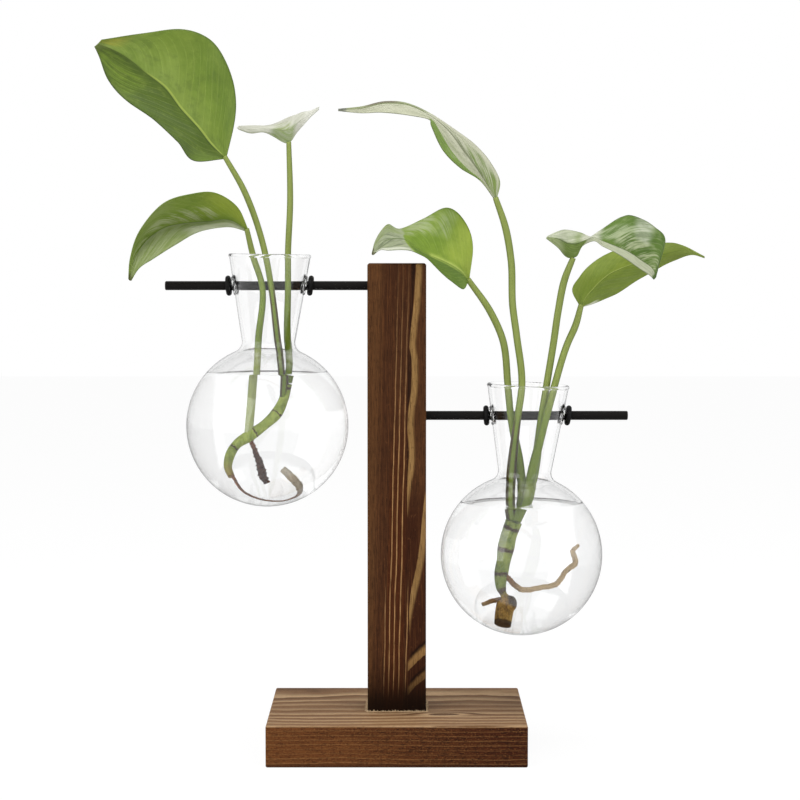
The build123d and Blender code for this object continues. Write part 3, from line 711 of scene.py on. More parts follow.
# Leaves: each row holds the midrib, the upper edge and the lower edge as (right, back, up) from the
# petiole's end, in shares of the leaf's length

leaf_shapes = {
    "left_large_leaf": [
        ((-0.07, 0.01, 0.07), (0.05, 0.05, 0.21), (-0.17, -0.04, -0.02)),
        ((-0.15, 0.02, 0.17), (0.05, 0.09, 0.39), (-0.265, -0.05, 0.085)),
        ((-0.25, 0.03, 0.28), (-0.01, 0.13, 0.56), (-0.39, -0.05, 0.205)),
        ((-0.34, 0.03, 0.40), (-0.10, 0.15, 0.685), (-0.55, -0.04, 0.315)),
        ((-0.46, 0.02, 0.49), (-0.26, 0.14, 0.735), (-0.66, -0.03, 0.44)),
        ((-0.58, -0.01, 0.58), (-0.46, 0.08, 0.71), (-0.71, -0.03, 0.57)),
        ((-0.71, -0.05, 0.64), (-0.69, -0.05, 0.66), (-0.73, -0.06, 0.62)),
    ],
    "left_drooping_leaf": [
        ((-0.12, -0.02, 0.07), (-0.06, -0.11, 0.16), (-0.11, -0.06, 0.02)),
        ((-0.27, -0.02, 0.06), (-0.21, -0.19, 0.255), (-0.23, -0.13, 0.01)),
        ((-0.42, -0.05, 0.05), (-0.38, -0.24, 0.245), (-0.36, -0.19, -0.03)),
        ((-0.57, -0.10, 0.02), (-0.56, -0.27, 0.18), (-0.49, -0.26, -0.11)),
        ((-0.70, -0.16, -0.08), (-0.72, -0.27, 0.00), (-0.63, -0.29, -0.20)),
        ((-0.77, -0.24, -0.22), (-0.79, -0.27, -0.19), (-0.73, -0.31, -0.27)),
        ((-0.79, -0.31, -0.35), (-0.80, -0.31, -0.34), (-0.78, -0.32, -0.35)),
    ],
    "left_young_leaf": [
        ((-0.58, -0.21, 0.17), (-0.56, -0.18, 0.19), (-0.56, -0.24, 0.15)),
        ((-0.45, -0.16, 0.15), (-0.43, -0.10, 0.20), (-0.44, -0.18, 0.11)),
        ((-0.29, -0.10, 0.16), (-0.27, -0.03, 0.20), (-0.29, -0.13, 0.12)),
        ((-0.15, -0.05, 0.16), (-0.12, 0.08, 0.25), (-0.16, -0.05, 0.07)),
        ((-0.02, 0.00, 0.15), (0.00, 0.18, 0.31), (-0.01, 0.00, 0.00)),
        ((0.12, 0.03, 0.25), (0.13, 0.18, 0.36), (0.11, 0.03, 0.15)),
        ((0.24, 0.03, 0.34), (0.25, 0.11, 0.38), (0.25, 0.00, 0.30)),
        ((0.34, 0.00, 0.40), (0.35, 0.01, 0.42), (0.35, -0.01, 0.39)),
    ],
    "right_long_leaf": [
        ((-0.05, -0.01, 0.08), (0.02, 0.03, 0.09), (-0.08, -0.03, 0.09)),
        ((-0.10, -0.02, 0.16), (-0.03, 0.06, 0.19), (-0.18, -0.08, 0.15)),
        ((-0.16, -0.03, 0.24), (-0.09, 0.07, 0.26), (-0.26, -0.10, 0.23)),
        ((-0.23, -0.03, 0.33), (-0.17, 0.06, 0.32), (-0.32, -0.10, 0.35)),
        ((-0.33, -0.05, 0.41), (-0.32, -0.01, 0.42), (-0.34, -0.07, 0.39)),
        ((-0.43, -0.06, 0.46), (-0.44, -0.01, 0.47), (-0.44, -0.10, 0.41)),
        ((-0.54, -0.07, 0.47), (-0.55, -0.02, 0.48), (-0.56, -0.10, 0.42)),
        ((-0.68, -0.08, 0.44), (-0.68, -0.06, 0.45), (-0.68, -0.09, 0.42)),
        ((-0.78, -0.09, 0.43), (-0.78, -0.09, 0.44), (-0.78, -0.10, 0.43)),
    ],
    "right_arched_leaf": [
        ((-0.06, -0.05, 0.07), (0.03, 0.06, 0.24), (-0.04, -0.11, -0.06)),
        ((-0.16, -0.08, 0.13), (-0.02, 0.13, 0.41), (-0.13, -0.15, 0.00)),
        ((-0.28, -0.10, 0.18), (-0.16, 0.16, 0.51), (-0.25, -0.17, 0.11)),
        ((-0.37, -0.10, 0.23), (-0.31, 0.13, 0.44), (-0.32, -0.17, 0.17)),
        ((-0.46, -0.08, 0.29), (-0.48, 0.00, 0.36), (-0.41, -0.15, 0.21)),
        ((-0.58, -0.08, 0.28), (-0.58, -0.02, 0.39), (-0.56, -0.13, 0.21)),
        ((-0.65, -0.10, 0.22), (-0.66, -0.08, 0.27), (-0.63, -0.11, 0.21)),
        ((-0.68, -0.11, 0.18), (-0.68, -0.11, 0.19), (-0.67, -0.12, 0.18)),
    ],
    "right_curled_leaf": [
        ((-0.23, -0.15, 0.18), (-0.22, -0.13, 0.19), (-0.23, -0.16, 0.17)),
        ((-0.14, -0.13, 0.17), (-0.13, -0.03, 0.23), (-0.14, -0.13, 0.10)),
        ((-0.03, -0.05, 0.13), (-0.02, 0.08, 0.24), (-0.03, -0.02, 0.01)),
        ((0.03, -0.03, 0.13), (0.07, 0.10, 0.22), (0.03, 0.00, 0.02)),
        ((0.11, -0.05, 0.16), (0.15, 0.04, 0.19), (0.09, -0.03, 0.11)),
        ((0.17, -0.07, 0.18), (0.18, -0.02, 0.21), (0.17, -0.09, 0.15)),
        ((0.24, -0.09, 0.15), (0.28, 0.02, 0.27), (0.24, -0.13, 0.11)),
        ((0.34, -0.13, 0.11), (0.41, 0.04, 0.35), (0.33, -0.17, 0.06)),
        ((0.47, -0.15, 0.05), (0.52, 0.02, 0.36), (0.46, -0.21, -0.02)),
        ((0.57, -0.17, -0.02), (0.68, -0.02, 0.27), (0.56, -0.23, -0.09)),
        ((0.65, -0.19, -0.08), (0.77, -0.07, 0.15), (0.63, -0.23, -0.14)),
        ((0.68, -0.21, -0.15), (0.70, -0.17, -0.06), (0.66, -0.23, -0.17)),
    ],
    "right_rear_leaf": [
        ((0.03, 0.01, 0.05), (-0.05, 0.06, 0.09), (0.07, 0.01, 0.01)),
        ((0.09, 0.04, 0.12), (0.00, 0.10, 0.19), (0.17, 0.04, 0.05)),
        ((0.18, 0.07, 0.20), (0.09, 0.15, 0.28), (0.26, 0.07, 0.09)),
        ((0.31, 0.09, 0.26), (0.21, 0.16, 0.35), (0.38, 0.09, 0.17)),
        ((0.44, 0.09, 0.30), (0.36, 0.15, 0.39), (0.49, 0.09, 0.23)),
        ((0.57, 0.07, 0.34), (0.56, 0.12, 0.41), (0.60, 0.06, 0.29)),
        ((0.70, 0.04, 0.36), (0.67, 0.06, 0.39), (0.72, 0.03, 0.33)),
        ((0.80, 0.01, 0.32), (0.80, 0.02, 0.32), (0.80, 0.01, 0.31)),
    ],
}


# Each leaf's colours: its green, dark and light, and then its patches in order. A patch lies between
# two places along the blade and two across it (0 lower edge, 0.5 midrib, 1 upper edge), with a soft
# rim; the next numbers say how far it breaks up into streaks and how strongly it covers. Last come
# the place along the blade where its light rib turns dark, and the colours of rib and groove.
leaf_colours = {
    "left_large_leaf": (
        rgb(98, 124, 30),
        rgb(128, 149, 58),
        [
            (0.20, 0.85, 0.50, 0.78, 0.10, 0.7, 0.50, rgb(134, 156, 66)),
            (0.05, 0.60, 0.78, 1.10, 0.10, 0.5, 0.55, rgb(80, 108, 20)),
            (0.05, 0.50, 0.62, 0.88, 0.08, 0.8, 0.50, rgb(96, 126, 26)),
            (-0.10, 1.10, -0.10, 0.485, 0.012, 0.0, 0.90, rgb(76, 98, 26)),
            # Painted sheen: bluish grey streaks over the lower half.
            (0.10, 0.80, -0.05, 0.40, 0.06, 1.0, 0.40, rgb(92, 110, 62)),
            (0.58, 0.90, 0.03, 0.40, 0.05, 0.8, 0.85, rgb(116, 142, 40)),
            (-0.05, 0.13, -0.05, 0.28, 0.06, 0.2, 0.60, rgb(116, 142, 48)),
            (0.90, 0.99, 0.62, 0.95, 0.05, 0.3, 0.80, rgb(170, 168, 60)),
            (0.93, 1.10, 0.00, 0.60, 0.04, 0.2, 0.45, rgb(134, 144, 78)),
        ],
        (0.66, rgb(158, 176, 76), rgb(58, 80, 22)),
    ),
    "left_drooping_leaf": (
        rgb(106, 134, 34),
        rgb(136, 156, 66),
        [
            (0.00, 0.30, 0.62, 1.10, 0.10, 0.2, 0.80, rgb(158, 174, 54)),
            (0.12, 0.30, 0.52, 0.75, 0.06, 0.6, 0.50, rgb(104, 132, 26)),
            (0.24, 0.95, 0.53, 0.74, 0.05, 1.0, 0.85, rgb(182, 190, 146)),
            (0.50, 1.10, 0.72, 1.10, 0.08, 0.6, 0.50, rgb(152, 166, 108)),
            (-0.10, 1.10, -0.10, 0.475, 0.012, 0.15, 0.92, rgb(168, 176, 138)),
            (0.30, 1.10, -0.05, 0.44, 0.05, 1.0, 0.80, rgb(122, 142, 64)),
            (0.04, 0.42, -0.10, 0.26, 0.06, 0.1, 0.75, rgb(216, 218, 198)),
            (0.955, 1.10, -0.10, 1.10, 0.02, 0.0, 0.90, rgb(72, 72, 34)),
        ],
        (0.00, rgb(170, 186, 100), rgb(98, 124, 34)),
    ),
    "left_young_leaf": (
        rgb(178, 180, 162),
        rgb(226, 226, 212),
        [
            (0.00, 0.42, -0.10, 0.16, 0.04, 0.4, 0.65, rgb(138, 144, 112)),
            (0.40, 0.68, -0.20, 0.56, 0.05, 0.35, 0.90, rgb(118, 144, 52)),
            (0.44, 0.60, 0.45, 0.82, 0.05, 0.9, 0.80, rgb(134, 150, 76)),
            (0.30, 0.62, 0.80, 1.10, 0.05, 0.7, 0.55, rgb(164, 164, 148)),
            (0.80, 1.10, -0.10, 1.10, 0.08, 0.1, 0.70, rgb(238, 238, 228)),
        ],
        (0.00, rgb(220, 222, 196), rgb(150, 158, 120)),
    ),
    "right_long_leaf": (
        rgb(168, 174, 138),
        rgb(222, 222, 200),
        [
            (0.08, 0.54, 0.20, 0.36, 0.06, 0.9, 0.60, rgb(154, 166, 116)),
            (0.06, 0.50, 0.52, 1.05, 0.06, 1.0, 0.70, rgb(128, 142, 84)),
            (0.10, 0.46, 0.49, 0.60, 0.03, 0.7, 0.75, rgb(96, 106, 66)),
            (-0.05, 0.30, 0.50, 0.90, 0.05, 0.75, 1.00, rgb(106, 132, 48)),
            (-0.05, 0.10, -0.10, 1.10, 0.04, 0.8, 0.80, rgb(128, 150, 66)),
            (0.14, 0.52, 0.84, 1.10, 0.05, 0.5, 0.60, rgb(222, 220, 202)),
            (0.09, 0.525, -0.20, 0.20, 0.014, 0.0, 0.97, rgb(108, 142, 34)),
            (0.55, 0.98, 0.46, 1.10, 0.02, 0.25, 0.85, rgb(122, 138, 74)),
            (0.70, 0.86, 0.60, 1.10, 0.03, 0.3, 0.95, rgb(88, 62, 56)),
            (0.60, 0.92, 0.06, 0.40, 0.05, 1.0, 0.55, rgb(176, 178, 150)),
            (0.955, 1.10, -0.10, 1.10, 0.01, 0.0, 0.90, rgb(112, 114, 108)),
        ],
        (0.00, rgb(230, 230, 206), rgb(84, 94, 46)),
    ),
    "right_arched_leaf": (
        rgb(100, 134, 30),
        rgb(146, 168, 62),
        [
            (-0.05, 0.30, 0.56, 1.10, 0.09, 0.2, 0.75, rgb(164, 182, 66)),
            (0.34, 0.62, 0.48, 0.74, 0.06, 0.4, 0.65, rgb(98, 132, 26)),
            (0.345, 0.44, 0.74, 0.985, 0.035, 0.75, 0.75, rgb(166, 182, 130)),
            (0.47, 0.66, 0.74, 1.10, 0.05, 0.95, 0.75, rgb(180, 192, 148)),
            (-0.10, 0.64, -0.10, 0.44, 0.02, 0.1, 0.92, rgb(82, 110, 34)),
            (-0.05, 0.14, -0.10, 0.40, 0.05, 0.1, 0.60, rgb(118, 146, 60)),
            (-0.05, 0.42, 0.45, 0.53, 0.02, 0.0, 0.75, rgb(172, 192, 88)),
            (0.67, 1.10, -0.10, 1.10, 0.014, 0.1, 0.92, rgb(184, 189, 164)),
            (0.68, 0.96, 0.74, 1.10, 0.06, 0.6, 0.80, rgb(122, 142, 64)),
            # Painted shade: the folded part towards the tip is darker and greyer.
            (0.68, 0.96, 0.12, 0.74, 0.05, 0.8, 0.85, rgb(104, 114, 84)),
            (0.68, 1.10, -0.10, 0.14, 0.05, 0.2, 0.80, rgb(226, 228, 210)),
            (0.965, 1.10, -0.10, 1.10, 0.01, 0.0, 0.90, rgb(86, 74, 52)),
        ],
        (0.42, rgb(176, 194, 92), rgb(92, 120, 34)),
    ),
    "right_curled_leaf": (
        rgb(60, 90, 24),
        rgb(106, 136, 50),
        [
            (-0.05, 0.37, -0.10, 1.10, 0.02, 0.2, 0.95, rgb(122, 146, 62)),
            (-0.05, 0.27, 0.52, 1.10, 0.05, 0.35, 0.92, rgb(212, 215, 194)),
            (-0.05, 0.14, -0.10, 0.50, 0.05, 0.4, 0.70, rgb(184, 192, 150)),
            (0.30, 0.46, 0.50, 1.10, 0.03, 0.2, 0.90, rgb(222, 222, 204)),
            (0.48, 0.73, 0.82, 1.10, 0.04, 0.5, 0.75, rgb(88, 118, 34)),
            (0.44, 0.80, 0.58, 0.84, 0.05, 0.95, 0.75, rgb(176, 188, 148)),
            (0.74, 0.83, 0.70, 1.10, 0.03, 0.5, 0.90, rgb(200, 206, 182)),
            (0.60, 0.98, 0.50, 0.72, 0.05, 1.0, 0.90, rgb(174, 183, 142)),
            (0.36, 0.95, -0.10, 0.485, 0.012, 0.1, 0.96, rgb(194, 198, 170)),
            (0.965, 1.10, -0.10, 1.10, 0.02, 0.2, 0.80, rgb(62, 84, 30)),
        ],
        (0.00, rgb(190, 198, 150), rgb(70, 84, 44)),
    ),
    "right_rear_leaf": (
        rgb(110, 134, 36),
        rgb(144, 160, 62),
        [
            (0.08, 0.90, 0.04, 0.46, 0.07, 0.7, 0.55, rgb(120, 138, 72)),
            (0.00, 0.40, 0.55, 0.75, 0.06, 0.8, 0.45, rgb(104, 130, 30)),
            (0.72, 1.10, -0.10, 1.10, 0.06, 0.2, 0.50, rgb(124, 138, 58)),
            (0.01, 0.10, -0.10, 0.10, 0.02, 0.0, 0.90, rgb(214, 216, 194)),
        ],
        (0.62, rgb(164, 180, 86), rgb(96, 118, 36)),
    ),
}


def leaf_finish(name):
    """Waxy blade. Its UV map runs along from stalk to tip, and across from the lower edge to the
    upper. Side veins leave the midrib at a slant and sweep towards the tip, and streaks follow them."""
    deep, fresh, patches, (rib_end, rib, groove) = leaf_colours[name]
    finish = Finish(name + "_skin")
    along, across = finish.surface_place()
    side = across * 2 - 1
    out = side.absolute()
    upper = side.ramp(-0.02, 0.02)
    sweep = along - out * 0.26 - out * out * 0.10
    wander = finish.noise((along * 5, across * 4, 0.5), 2.0, 0.6)
    drift = finish.noise((along * 6, across * 5, 4.5), 2.0, 0.6)
    vein = ((sweep + wander * 0.01) * 17).fraction() - 0.5
    vein = vein.absolute().ramp(0.13, 0.0) * out.ramp(0.02, 0.2) * out.ramp(1.0, 0.7)
    streak = finish.cloud((sweep * 24 + upper * 7, out * 1.5, 1.5), 3.0, 0.6)
    fine = finish.cloud((sweep * 85 + upper * 5, out * 3.0, 3.5), 2.0, 0.6)
    cloud = finish.cloud((along * 4.0, across * 3.0, 6.5), 2.0)
    broken = (streak * 0.65 + fine * 0.35).ramp(0.44, 0.58)
    colour = finish.mix((streak * 0.7 + cloud * 0.9 - 0.3), deep, fresh)
    blotch = finish.cloud((along * 14 + upper * 3, across * 11, 8.5), 3.0, 0.65)
    place_along = along + wander * 0.035
    place_across = across + drift * 0.05 * out
    for start, end, low, high, soft, streaky, cover, tint in patches:
        share = place_along.ramp(start - soft, start + soft) * place_along.ramp(end + soft, end - soft)
        share = share * place_across.ramp(low - soft, low + soft)
        share = share * place_across.ramp(high + soft, high - soft)
        if streaky:
            share = share * (broken * streaky + (1 - streaky))
        colour = finish.mix(share * cover * (0.88 + fine * 0.12), colour, tint)
    width = 0.030 - along * 0.022
    ridge = (side / width).absolute().ramp(1.5, 0.5)
    furrow = ((side + width * 1.9) / width).absolute().ramp(1.5, 0.3)
    colour = finish.blend(
        colour,
        (blotch.ramp(0.48, 0.70) * 0.28, groove),
        (blotch.ramp(0.46, 0.30) * 0.16, rib),
        (vein * 0.16, rib),
        (furrow * 0.55, groove),
        (ridge * along.ramp(rib_end + 0.08, rib_end - 0.08) * 0.9, rib),
        (ridge * along.ramp(rib_end - 0.02, rib_end + 0.10) * 0.55, groove),
        (out.ramp(0.955, 0.99) * 0.45, groove),
    )
    height = 0.6 - vein * 0.25 - furrow * 0.3 + ridge * 0.3 + streak * 0.10 + fine * 0.06
    return finish.shade(
        Base_Color=colour,
        Roughness=0.40 + fine * 0.12,
        Normal=finish.bump(height, 0.2),
        Specular_IOR_Level=0.4,
    )


def leaf_blade(name, side, base, length, stalk_width, crown, ripple):
    """Blade over a grid of two parameters: along the midrib, and across from the lower edge to the
    upper. The midrib and both edges are smooth curves through the rows. Each half bows to one side as
    a sine of the share of its width, by the crown times that width, and ripples near its edge as a
    sine along the blade."""
    rows = base + np.array(leaf_shapes[name]) * length
    if stalk_width:
        forward = unit(rows[0, 0] - base)
        across = rows[0, 1] - rows[0, 2]
        half = unit(across - forward * (across @ forward)) * stalk_width / 2
        rows = np.concatenate([[[base, base + half, base - half]], rows])
    count, half_count, waves = 110, 24, 3.4
    lines = smooth(rows, count)
    share = np.linspace(0, 1, half_count)[None, :, None]
    middle, upper, lower = lines[:, 0:1], lines[:, 1:2], lines[:, 2:3]
    forward = unit(np.gradient(lines[:, 0], axis=0))[:, None]
    normal = unit(np.cross(forward, upper - lower))
    along = np.linspace(0, 1, count)[:, None, None]

    def half(edge, turn):
        """One half of the blade, from the midrib to an edge."""
        width = np.linalg.norm(edge - middle, axis=-1, keepdims=True)
        bow = np.sin(pi * share**0.8) * width * crown
        wave = np.sin(2 * pi * (along * waves + turn)) * share**3 * ripple * np.sin(pi * along)
        return middle + (edge - middle) * share + normal * (bow + wave)

    low, high = half(lower, 0.1), half(upper, 0.45)
    points = np.concatenate([low[:, ::-1], high[:, 1:]], 1)
    across = np.concatenate([(1 - share[0, ::-1, 0]) / 2, (1 + share[0, 1:, 0]) / 2])
    columns = len(across)
    uv = np.stack(np.broadcast_arrays(along[:, :, 0], across[None, :]), -1).reshape(-1, 2)
    blade = add_mesh(name.replace("_leaf", "_blade"), points.reshape(-1, 3), grid_faces(count, columns), uv)
    blade.data.materials.append(leaf_finish(name))
    skin = blade.modifiers.new("thickness", "SOLIDIFY")
    skin.thickness = blade_thickness * MM
    skin.offset = 0
    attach(blade, side + "_vessel")
    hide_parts(name)


# Stems

petiole_radius = {"left": 1.35, "right": 1.55}
sheath_share = {"left": 1.12, "right": 1.32}
# Each petiole's route from its leaf down to the stem: places above the mouth in shares of the leaf's
# reach, then at the mouth (across, front), before the rod (across, layer), at the waist (across,
# front), and in the bulb (across, up, front)
petiole_shares = {
    "left_drooping": (
        [(-0.90, 1.0, 0.75)],
        (-0.46, 0.42),
        (-0.23, 0),
        (-0.46, 0.40),
        [(-0.14, 0.64, 0.14), (-0.16, 0.22, 0.16), (-0.18, -0.08, 0.22)],
    ),
    "left_large": (
        [(-0.465, 1.0, 0.07), (-0.27, 0.67, 0.10), (-0.15, 0.385, 0.12)],
        (-0.10, 0.34),
        (0.07, 0),
        (0.44, 0.50),
        [(0.18, 0.62, 0.16), (0.17, 0.30, 0.13)],
    ),
    "left_young": (
        [(0.16, 1.0, 0.06), (0.18, 0.5, 0.08)],
        (0.54, 0.27),
        (0.64, 0),
        (0.90, 0.28),
        [(0.27, 0.74, 0.12), (0.21, 0.46, 0.12)],
    ),
    "right_arched": (
        [(-0.616, 1.0, 0.16), (-0.40, 0.71, 0.16), (-0.28, 0.47, 0.14)],
        (-0.61, 0.28),
        (-0.57, 0),
        (-0.26, 0.26),
        [(-0.03, 0.72, 0.10), (-0.10, 0.42, 0.15)],
    ),
    "right_long": (
        [
            (-0.214, 1.0, 0.04), (-0.16, 0.857, 0.045), (-0.122, 0.678, 0.05),
            (-0.104, 0.433, 0.06), (-0.078, 0.28, 0.07),
        ],
        (-0.21, 0.45),
        (-0.34, 1),
        (-0.66, 0.62),
        [(-0.17, 0.62, 0.20), (-0.12, 0.38, 0.17)],
    ),
    "right_curled": (
        [(0.298, 1.0, 0.10), (0.248, 0.857, 0.10), (0.207, 0.605, 0.09), (0.182, 0.355, 0.07)],
        (0.52, 0.27),
        (0.48, 0),
        (0.48, 0.20),
        [(0.04, 0.66, 0.08), (-0.08, 0.40, 0.15)],
    ),
    "right_rear": (
        [(0.613, 1.0, -0.03), (0.555, 0.77, 0.02), (0.47, 0.565, 0.06)],
        (0.74, 0.40),
        (0.62, 1),
        (0.34, 0.74),
        [(0.00, 0.60, 0.22), (-0.08, 0.38, 0.18)],
    ),
}


def petiole_route(name):
    """A petiole's places in the object's frame, from its leaf down to the stem."""
    side = name.split("_")[0]
    radius = petiole_radius[side]
    above, mouth, rod, waist, below = petiole_shares[name]
    places = [above_mouth(leaf_reach[name], *shares) for shares in above]
    places.append(in_neck(mouth_height, *mouth, radius))
    places.append(before_rod(*rod, radius))
    places.append(in_neck(-waist_drop, *waist, radius))
    places += bulb_places(*below)
    return in_world(side, places)


# Each stem's route from its top down to its old end, and its radii; the right one stands on its stump.
vines = {
    "left": (
        bulb_places(
            (0.20, 0.44, 0.12), (0.16, 0.26, 0.13), (0.10, 0.14, 0.15), (-0.02, 0.02, 0.18),
            (-0.17, -0.09, 0.22), (-0.30, -0.18, 0.26), (-0.37, -0.29, 0.30), (-0.40, -0.44, 0.34),
            (-0.37, -0.54, 0.38),
        ),
        [1.8, 1.7, 2.0, 1.7, 2.05, 1.7, 1.8, 1.6, 1.45],
    ),
    "right": (
        bulb_places(
            (-0.10, 0.36, 0.17), (-0.15, 0.20, 0.18), (-0.17, 0.09, 0.19), (-0.19, -0.05, 0.20),
            (-0.21, -0.18, 0.22), (-0.21, -0.32, 0.25), (-0.17, -0.42, 0.28), (-0.15, -0.46, 0.29),
            (-0.17, -0.55, 0.31),
        )
        + [on_glass(-0.20, -0.76, 0.36, stump_radius)],
        [2.99, 2.86, 2.99, 2.47, 2.47, 1.82, 1.69] + [stump_radius] * 3,
    ),
}
# Each root's route from the stem to its tip, and its radii: the left bulb has a short dead root and
# one that lies on the glass and ends in a husk, the right one a long live root and a stub.
roots = {
    "left": [
        (
            bulb_places(
                (-0.17, -0.09, 0.22), (-0.11, -0.25, 0.21), (-0.06, -0.38, 0.20),
                (-0.04, -0.47, 0.18), (0.01, -0.58, 0.16),
            ),
            [0.63, 0.7, 1.19, 1.4, 0.84],
        ),
        (
            [
                in_bulb(-0.37, -0.50, 0.37),
                on_glass(-0.23, -0.78, 0.53, root_radius),
                on_glass(0.06, -0.88, 0.40, root_radius),
                on_glass(0.28, -0.88, 0.33, root_radius),
                in_bulb(0.39, -0.77, 0.27),
                in_bulb(0.38, -0.66, 0.27),
                in_bulb(0.29, -0.54, 0.27),
                in_bulb(0.18, -0.43, 0.27),
            ],
            [0.7, 0.65, 0.6, 0.65, 1.0, 1.4, 1.54, 1.26],
        ),
    ],
    "right": [
        (
            bulb_places(
                (-0.20, -0.16, 0.22), (0.01, -0.33, 0.30), (0.20, -0.30, 0.34), (0.36, -0.26, 0.30),
                (0.46, -0.12, 0.24), (0.55, -0.04, 0.20), (0.52, 0.08, 0.18), (0.58, 0.14, 0.15),
            ),
            [0.7, 0.8, 0.75, 0.8, 0.75, 0.85, 0.7, 0.4],
        ),
        (
            bulb_places(
                (-0.16, -0.44, 0.28), (-0.30, -0.47, 0.30), (-0.42, -0.53, 0.28),
            ),
            [0.7, 0.7, 0.55],
        ),
    ],
}


def petiole_finish(name, mouth, bracts, soaked=0.0):
    """Smooth yellow-green stalk with lengthwise fibres and painted shade on its two flanks, richer in
    colour below the bulb's mouth and pale where it was sheathed. Bracts says how brown its two seams are,
    and soaked how pale it is under water."""
    finish = Finish(name)
    around = finish.surface_place()[1]
    x, y, z = finish.place()
    fibre = finish.cloud((x * 1.4, y * 1.4, z * 0.06), 3.0, 0.6)
    cloud = finish.cloud((x * 0.2, y * 0.2, z * 0.07 + 4), 2.0)
    speck = finish.cloud((x * 2.5, y * 2.5, z * 1.2 + 4), 2.0, 0.6)
    shaded_flank_and_seam = ((around * 2).fraction() - 0.5).absolute()
    low = z.ramp(mouth + 4, mouth - 22)
    colour = finish.mix(fibre * 0.6 + cloud * 0.4, rgb(116, 134, 52), rgb(172, 184, 104))
    deep = finish.mix(fibre * 0.6 + cloud * 0.4, rgb(90, 118, 16), rgb(150, 174, 56))
    colour = finish.blend(
        colour,
        (low * 0.9, deep),
        # Painted shade on the stalk's two flanks.
        (shaded_flank_and_seam.ramp(0.16, 0.46) * 0.60, rgb(74, 94, 24)),
        ((z - mouth).line(-45.5, 2.4) * 0.45, rgb(204, 214, 160)),
        (speck.ramp(0.68, 0.8) * 0.4, rgb(96, 84, 34)),
        (z.ramp(mouth - 8, mouth - 20) * shaded_flank_and_seam.ramp(0.08, 0.20) * bracts, rgb(66, 36, 22)),
        (z.ramp(mouth - 39, mouth - 43) * (fibre * 0.4 + 0.6) * soaked, rgb(206, 216, 146)),
    )
    return finish.shade(
        Base_Color=colour,
        Roughness=0.42 + fibre * 0.08,
        Normal=finish.bump(fibre, 0.08),
        Specular_IOR_Level=0.3,
    )


def vine_finish(name, fresh, light, scars, low, brown_from):
    """Green stem that turns brown towards its old end, with ragged brown rings at its nodes. Scars
    are distances along it in millimetres, each with its half width."""
    finish = Finish(name)
    along, around = finish.surface_place()
    x, y, z = finish.place()
    mottle = finish.cloud((x * 0.6, y * 0.6, z * 0.35), 3.0, 0.6)
    speck = finish.cloud((x * 1.8, y * 1.8, z * 1.2 + 5), 2.0, 0.6)
    crumb = finish.cloud((x * 3.2, y * 3.2, z * 3.2 + 2), 2.0, 0.6)
    wave = finish.noise((x * 0.5, y * 0.5, z * 0.5 + 2), 1.0) * 0.8
    ragged = finish.noise((x * 1.5, y * 1.5, z * 1.5 + 6), 2.0, 0.7) * 0.8
    shaded_flank_and_seam = ((around * 2).fraction() - 0.5).absolute()
    colour = finish.mix(mottle.ramp(0.25, 0.75), fresh, light)
    old = along.ramp(brown_from, low)
    colour = finish.blend(
        colour,
        # Painted shade on the stem's two flanks.
        (shaded_flank_and_seam.ramp(0.25, 0.48) * 0.35, rgb(70, 92, 26)),
        (speck.ramp(0.66, 0.78) * 0.5, rgb(84, 74, 30)),
        (old * 0.92, finish.mix(mottle, rgb(176, 122, 40), rgb(228, 182, 96))),
        (old * speck.ramp(0.52, 0.66) * 0.65, rgb(84, 46, 16)),
        (old * crumb.ramp(0.60, 0.70) * 0.7, rgb(34, 18, 8)),
        (old * mottle.ramp(0.44, 0.36) * 0.7, rgb(240, 204, 118)),
        (old * mottle.ramp(0.52, 0.62) * 0.6, rgb(82, 44, 16)),
    )
    for scar, width in scars:
        colour = finish.mix((along + wave + ragged).line(scar, width) * 0.95, colour, rgb(70, 40, 20))
    if name.startswith("right"):
        # Painted shade of a hollow on the right of the stump's top, which the mesh doesn't have, and the
        # stump's dark cut end.
        stump_middle = 49.4
        hollow_shade = along.ramp(low - 3.2, low - 1.2) * along.ramp(low + 2.6, low + 0.6)
        hollow_shade = hollow_shade * (x - stump_middle).ramp(-0.8, 0.8)
        end = (along + ragged * 1.5).ramp(low + 8.5, low + 9.6)
        colour = finish.mix((hollow_shade + end).at_most(1.0) * 0.9, colour, rgb(34, 16, 8))
    return finish.shade(
        Base_Color=colour,
        Roughness=0.5 + mottle * 0.1,
        Normal=finish.bump(mottle + speck * 0.4 - crumb * old * 0.5, 0.3),
        Specular_IOR_Level=0.3,
    )


def root_finish(name, fresh, old, old_from, old_to, dark):
    """Wet root, rough and grainy, with dark spots."""
    finish = Finish(name)
    along = finish.surface_place()[0]
    x, y, z = finish.place()
    grain = finish.cloud((x * 2.2, y * 2.2, z * 2.2), 3.0, 0.65)
    spot = finish.cloud((x * 0.8, y * 0.8, z * 0.8 + 5), 2.0, 0.6)
    colour = finish.mix(along.ramp(old_from, old_to), fresh, old)
    colour = finish.blend(
        colour,
        (grain.ramp(0.45, 0.65) * 0.45, dark),
        (grain.ramp(0.40, 0.25) * 0.35, rgb(222, 200, 164)),
        (spot.ramp(0.62, 0.70) * 0.8, rgb(58, 36, 24)),
    )
    return finish.shade(
        Base_Color=colour, Roughness=0.6, Normal=finish.bump(grain, 0.4), Specular_IOR_Level=0.3
    )


def knobbly(height, wave_length):
    """Relief of a root's skin: a sine along it times a cosine that winds round it three times, and
    half as high a finer sine that winds round it five times."""

    def relief(along, turn):
        waves = along / wave_length
        swell = np.sin(2 * pi * waves) * np.cos(2 * pi * (turn * 3 + waves / 2.3))
        return height * (swell + 0.5 * np.sin(2 * pi * (waves * 2.7 + turn * 5)))

    return relief


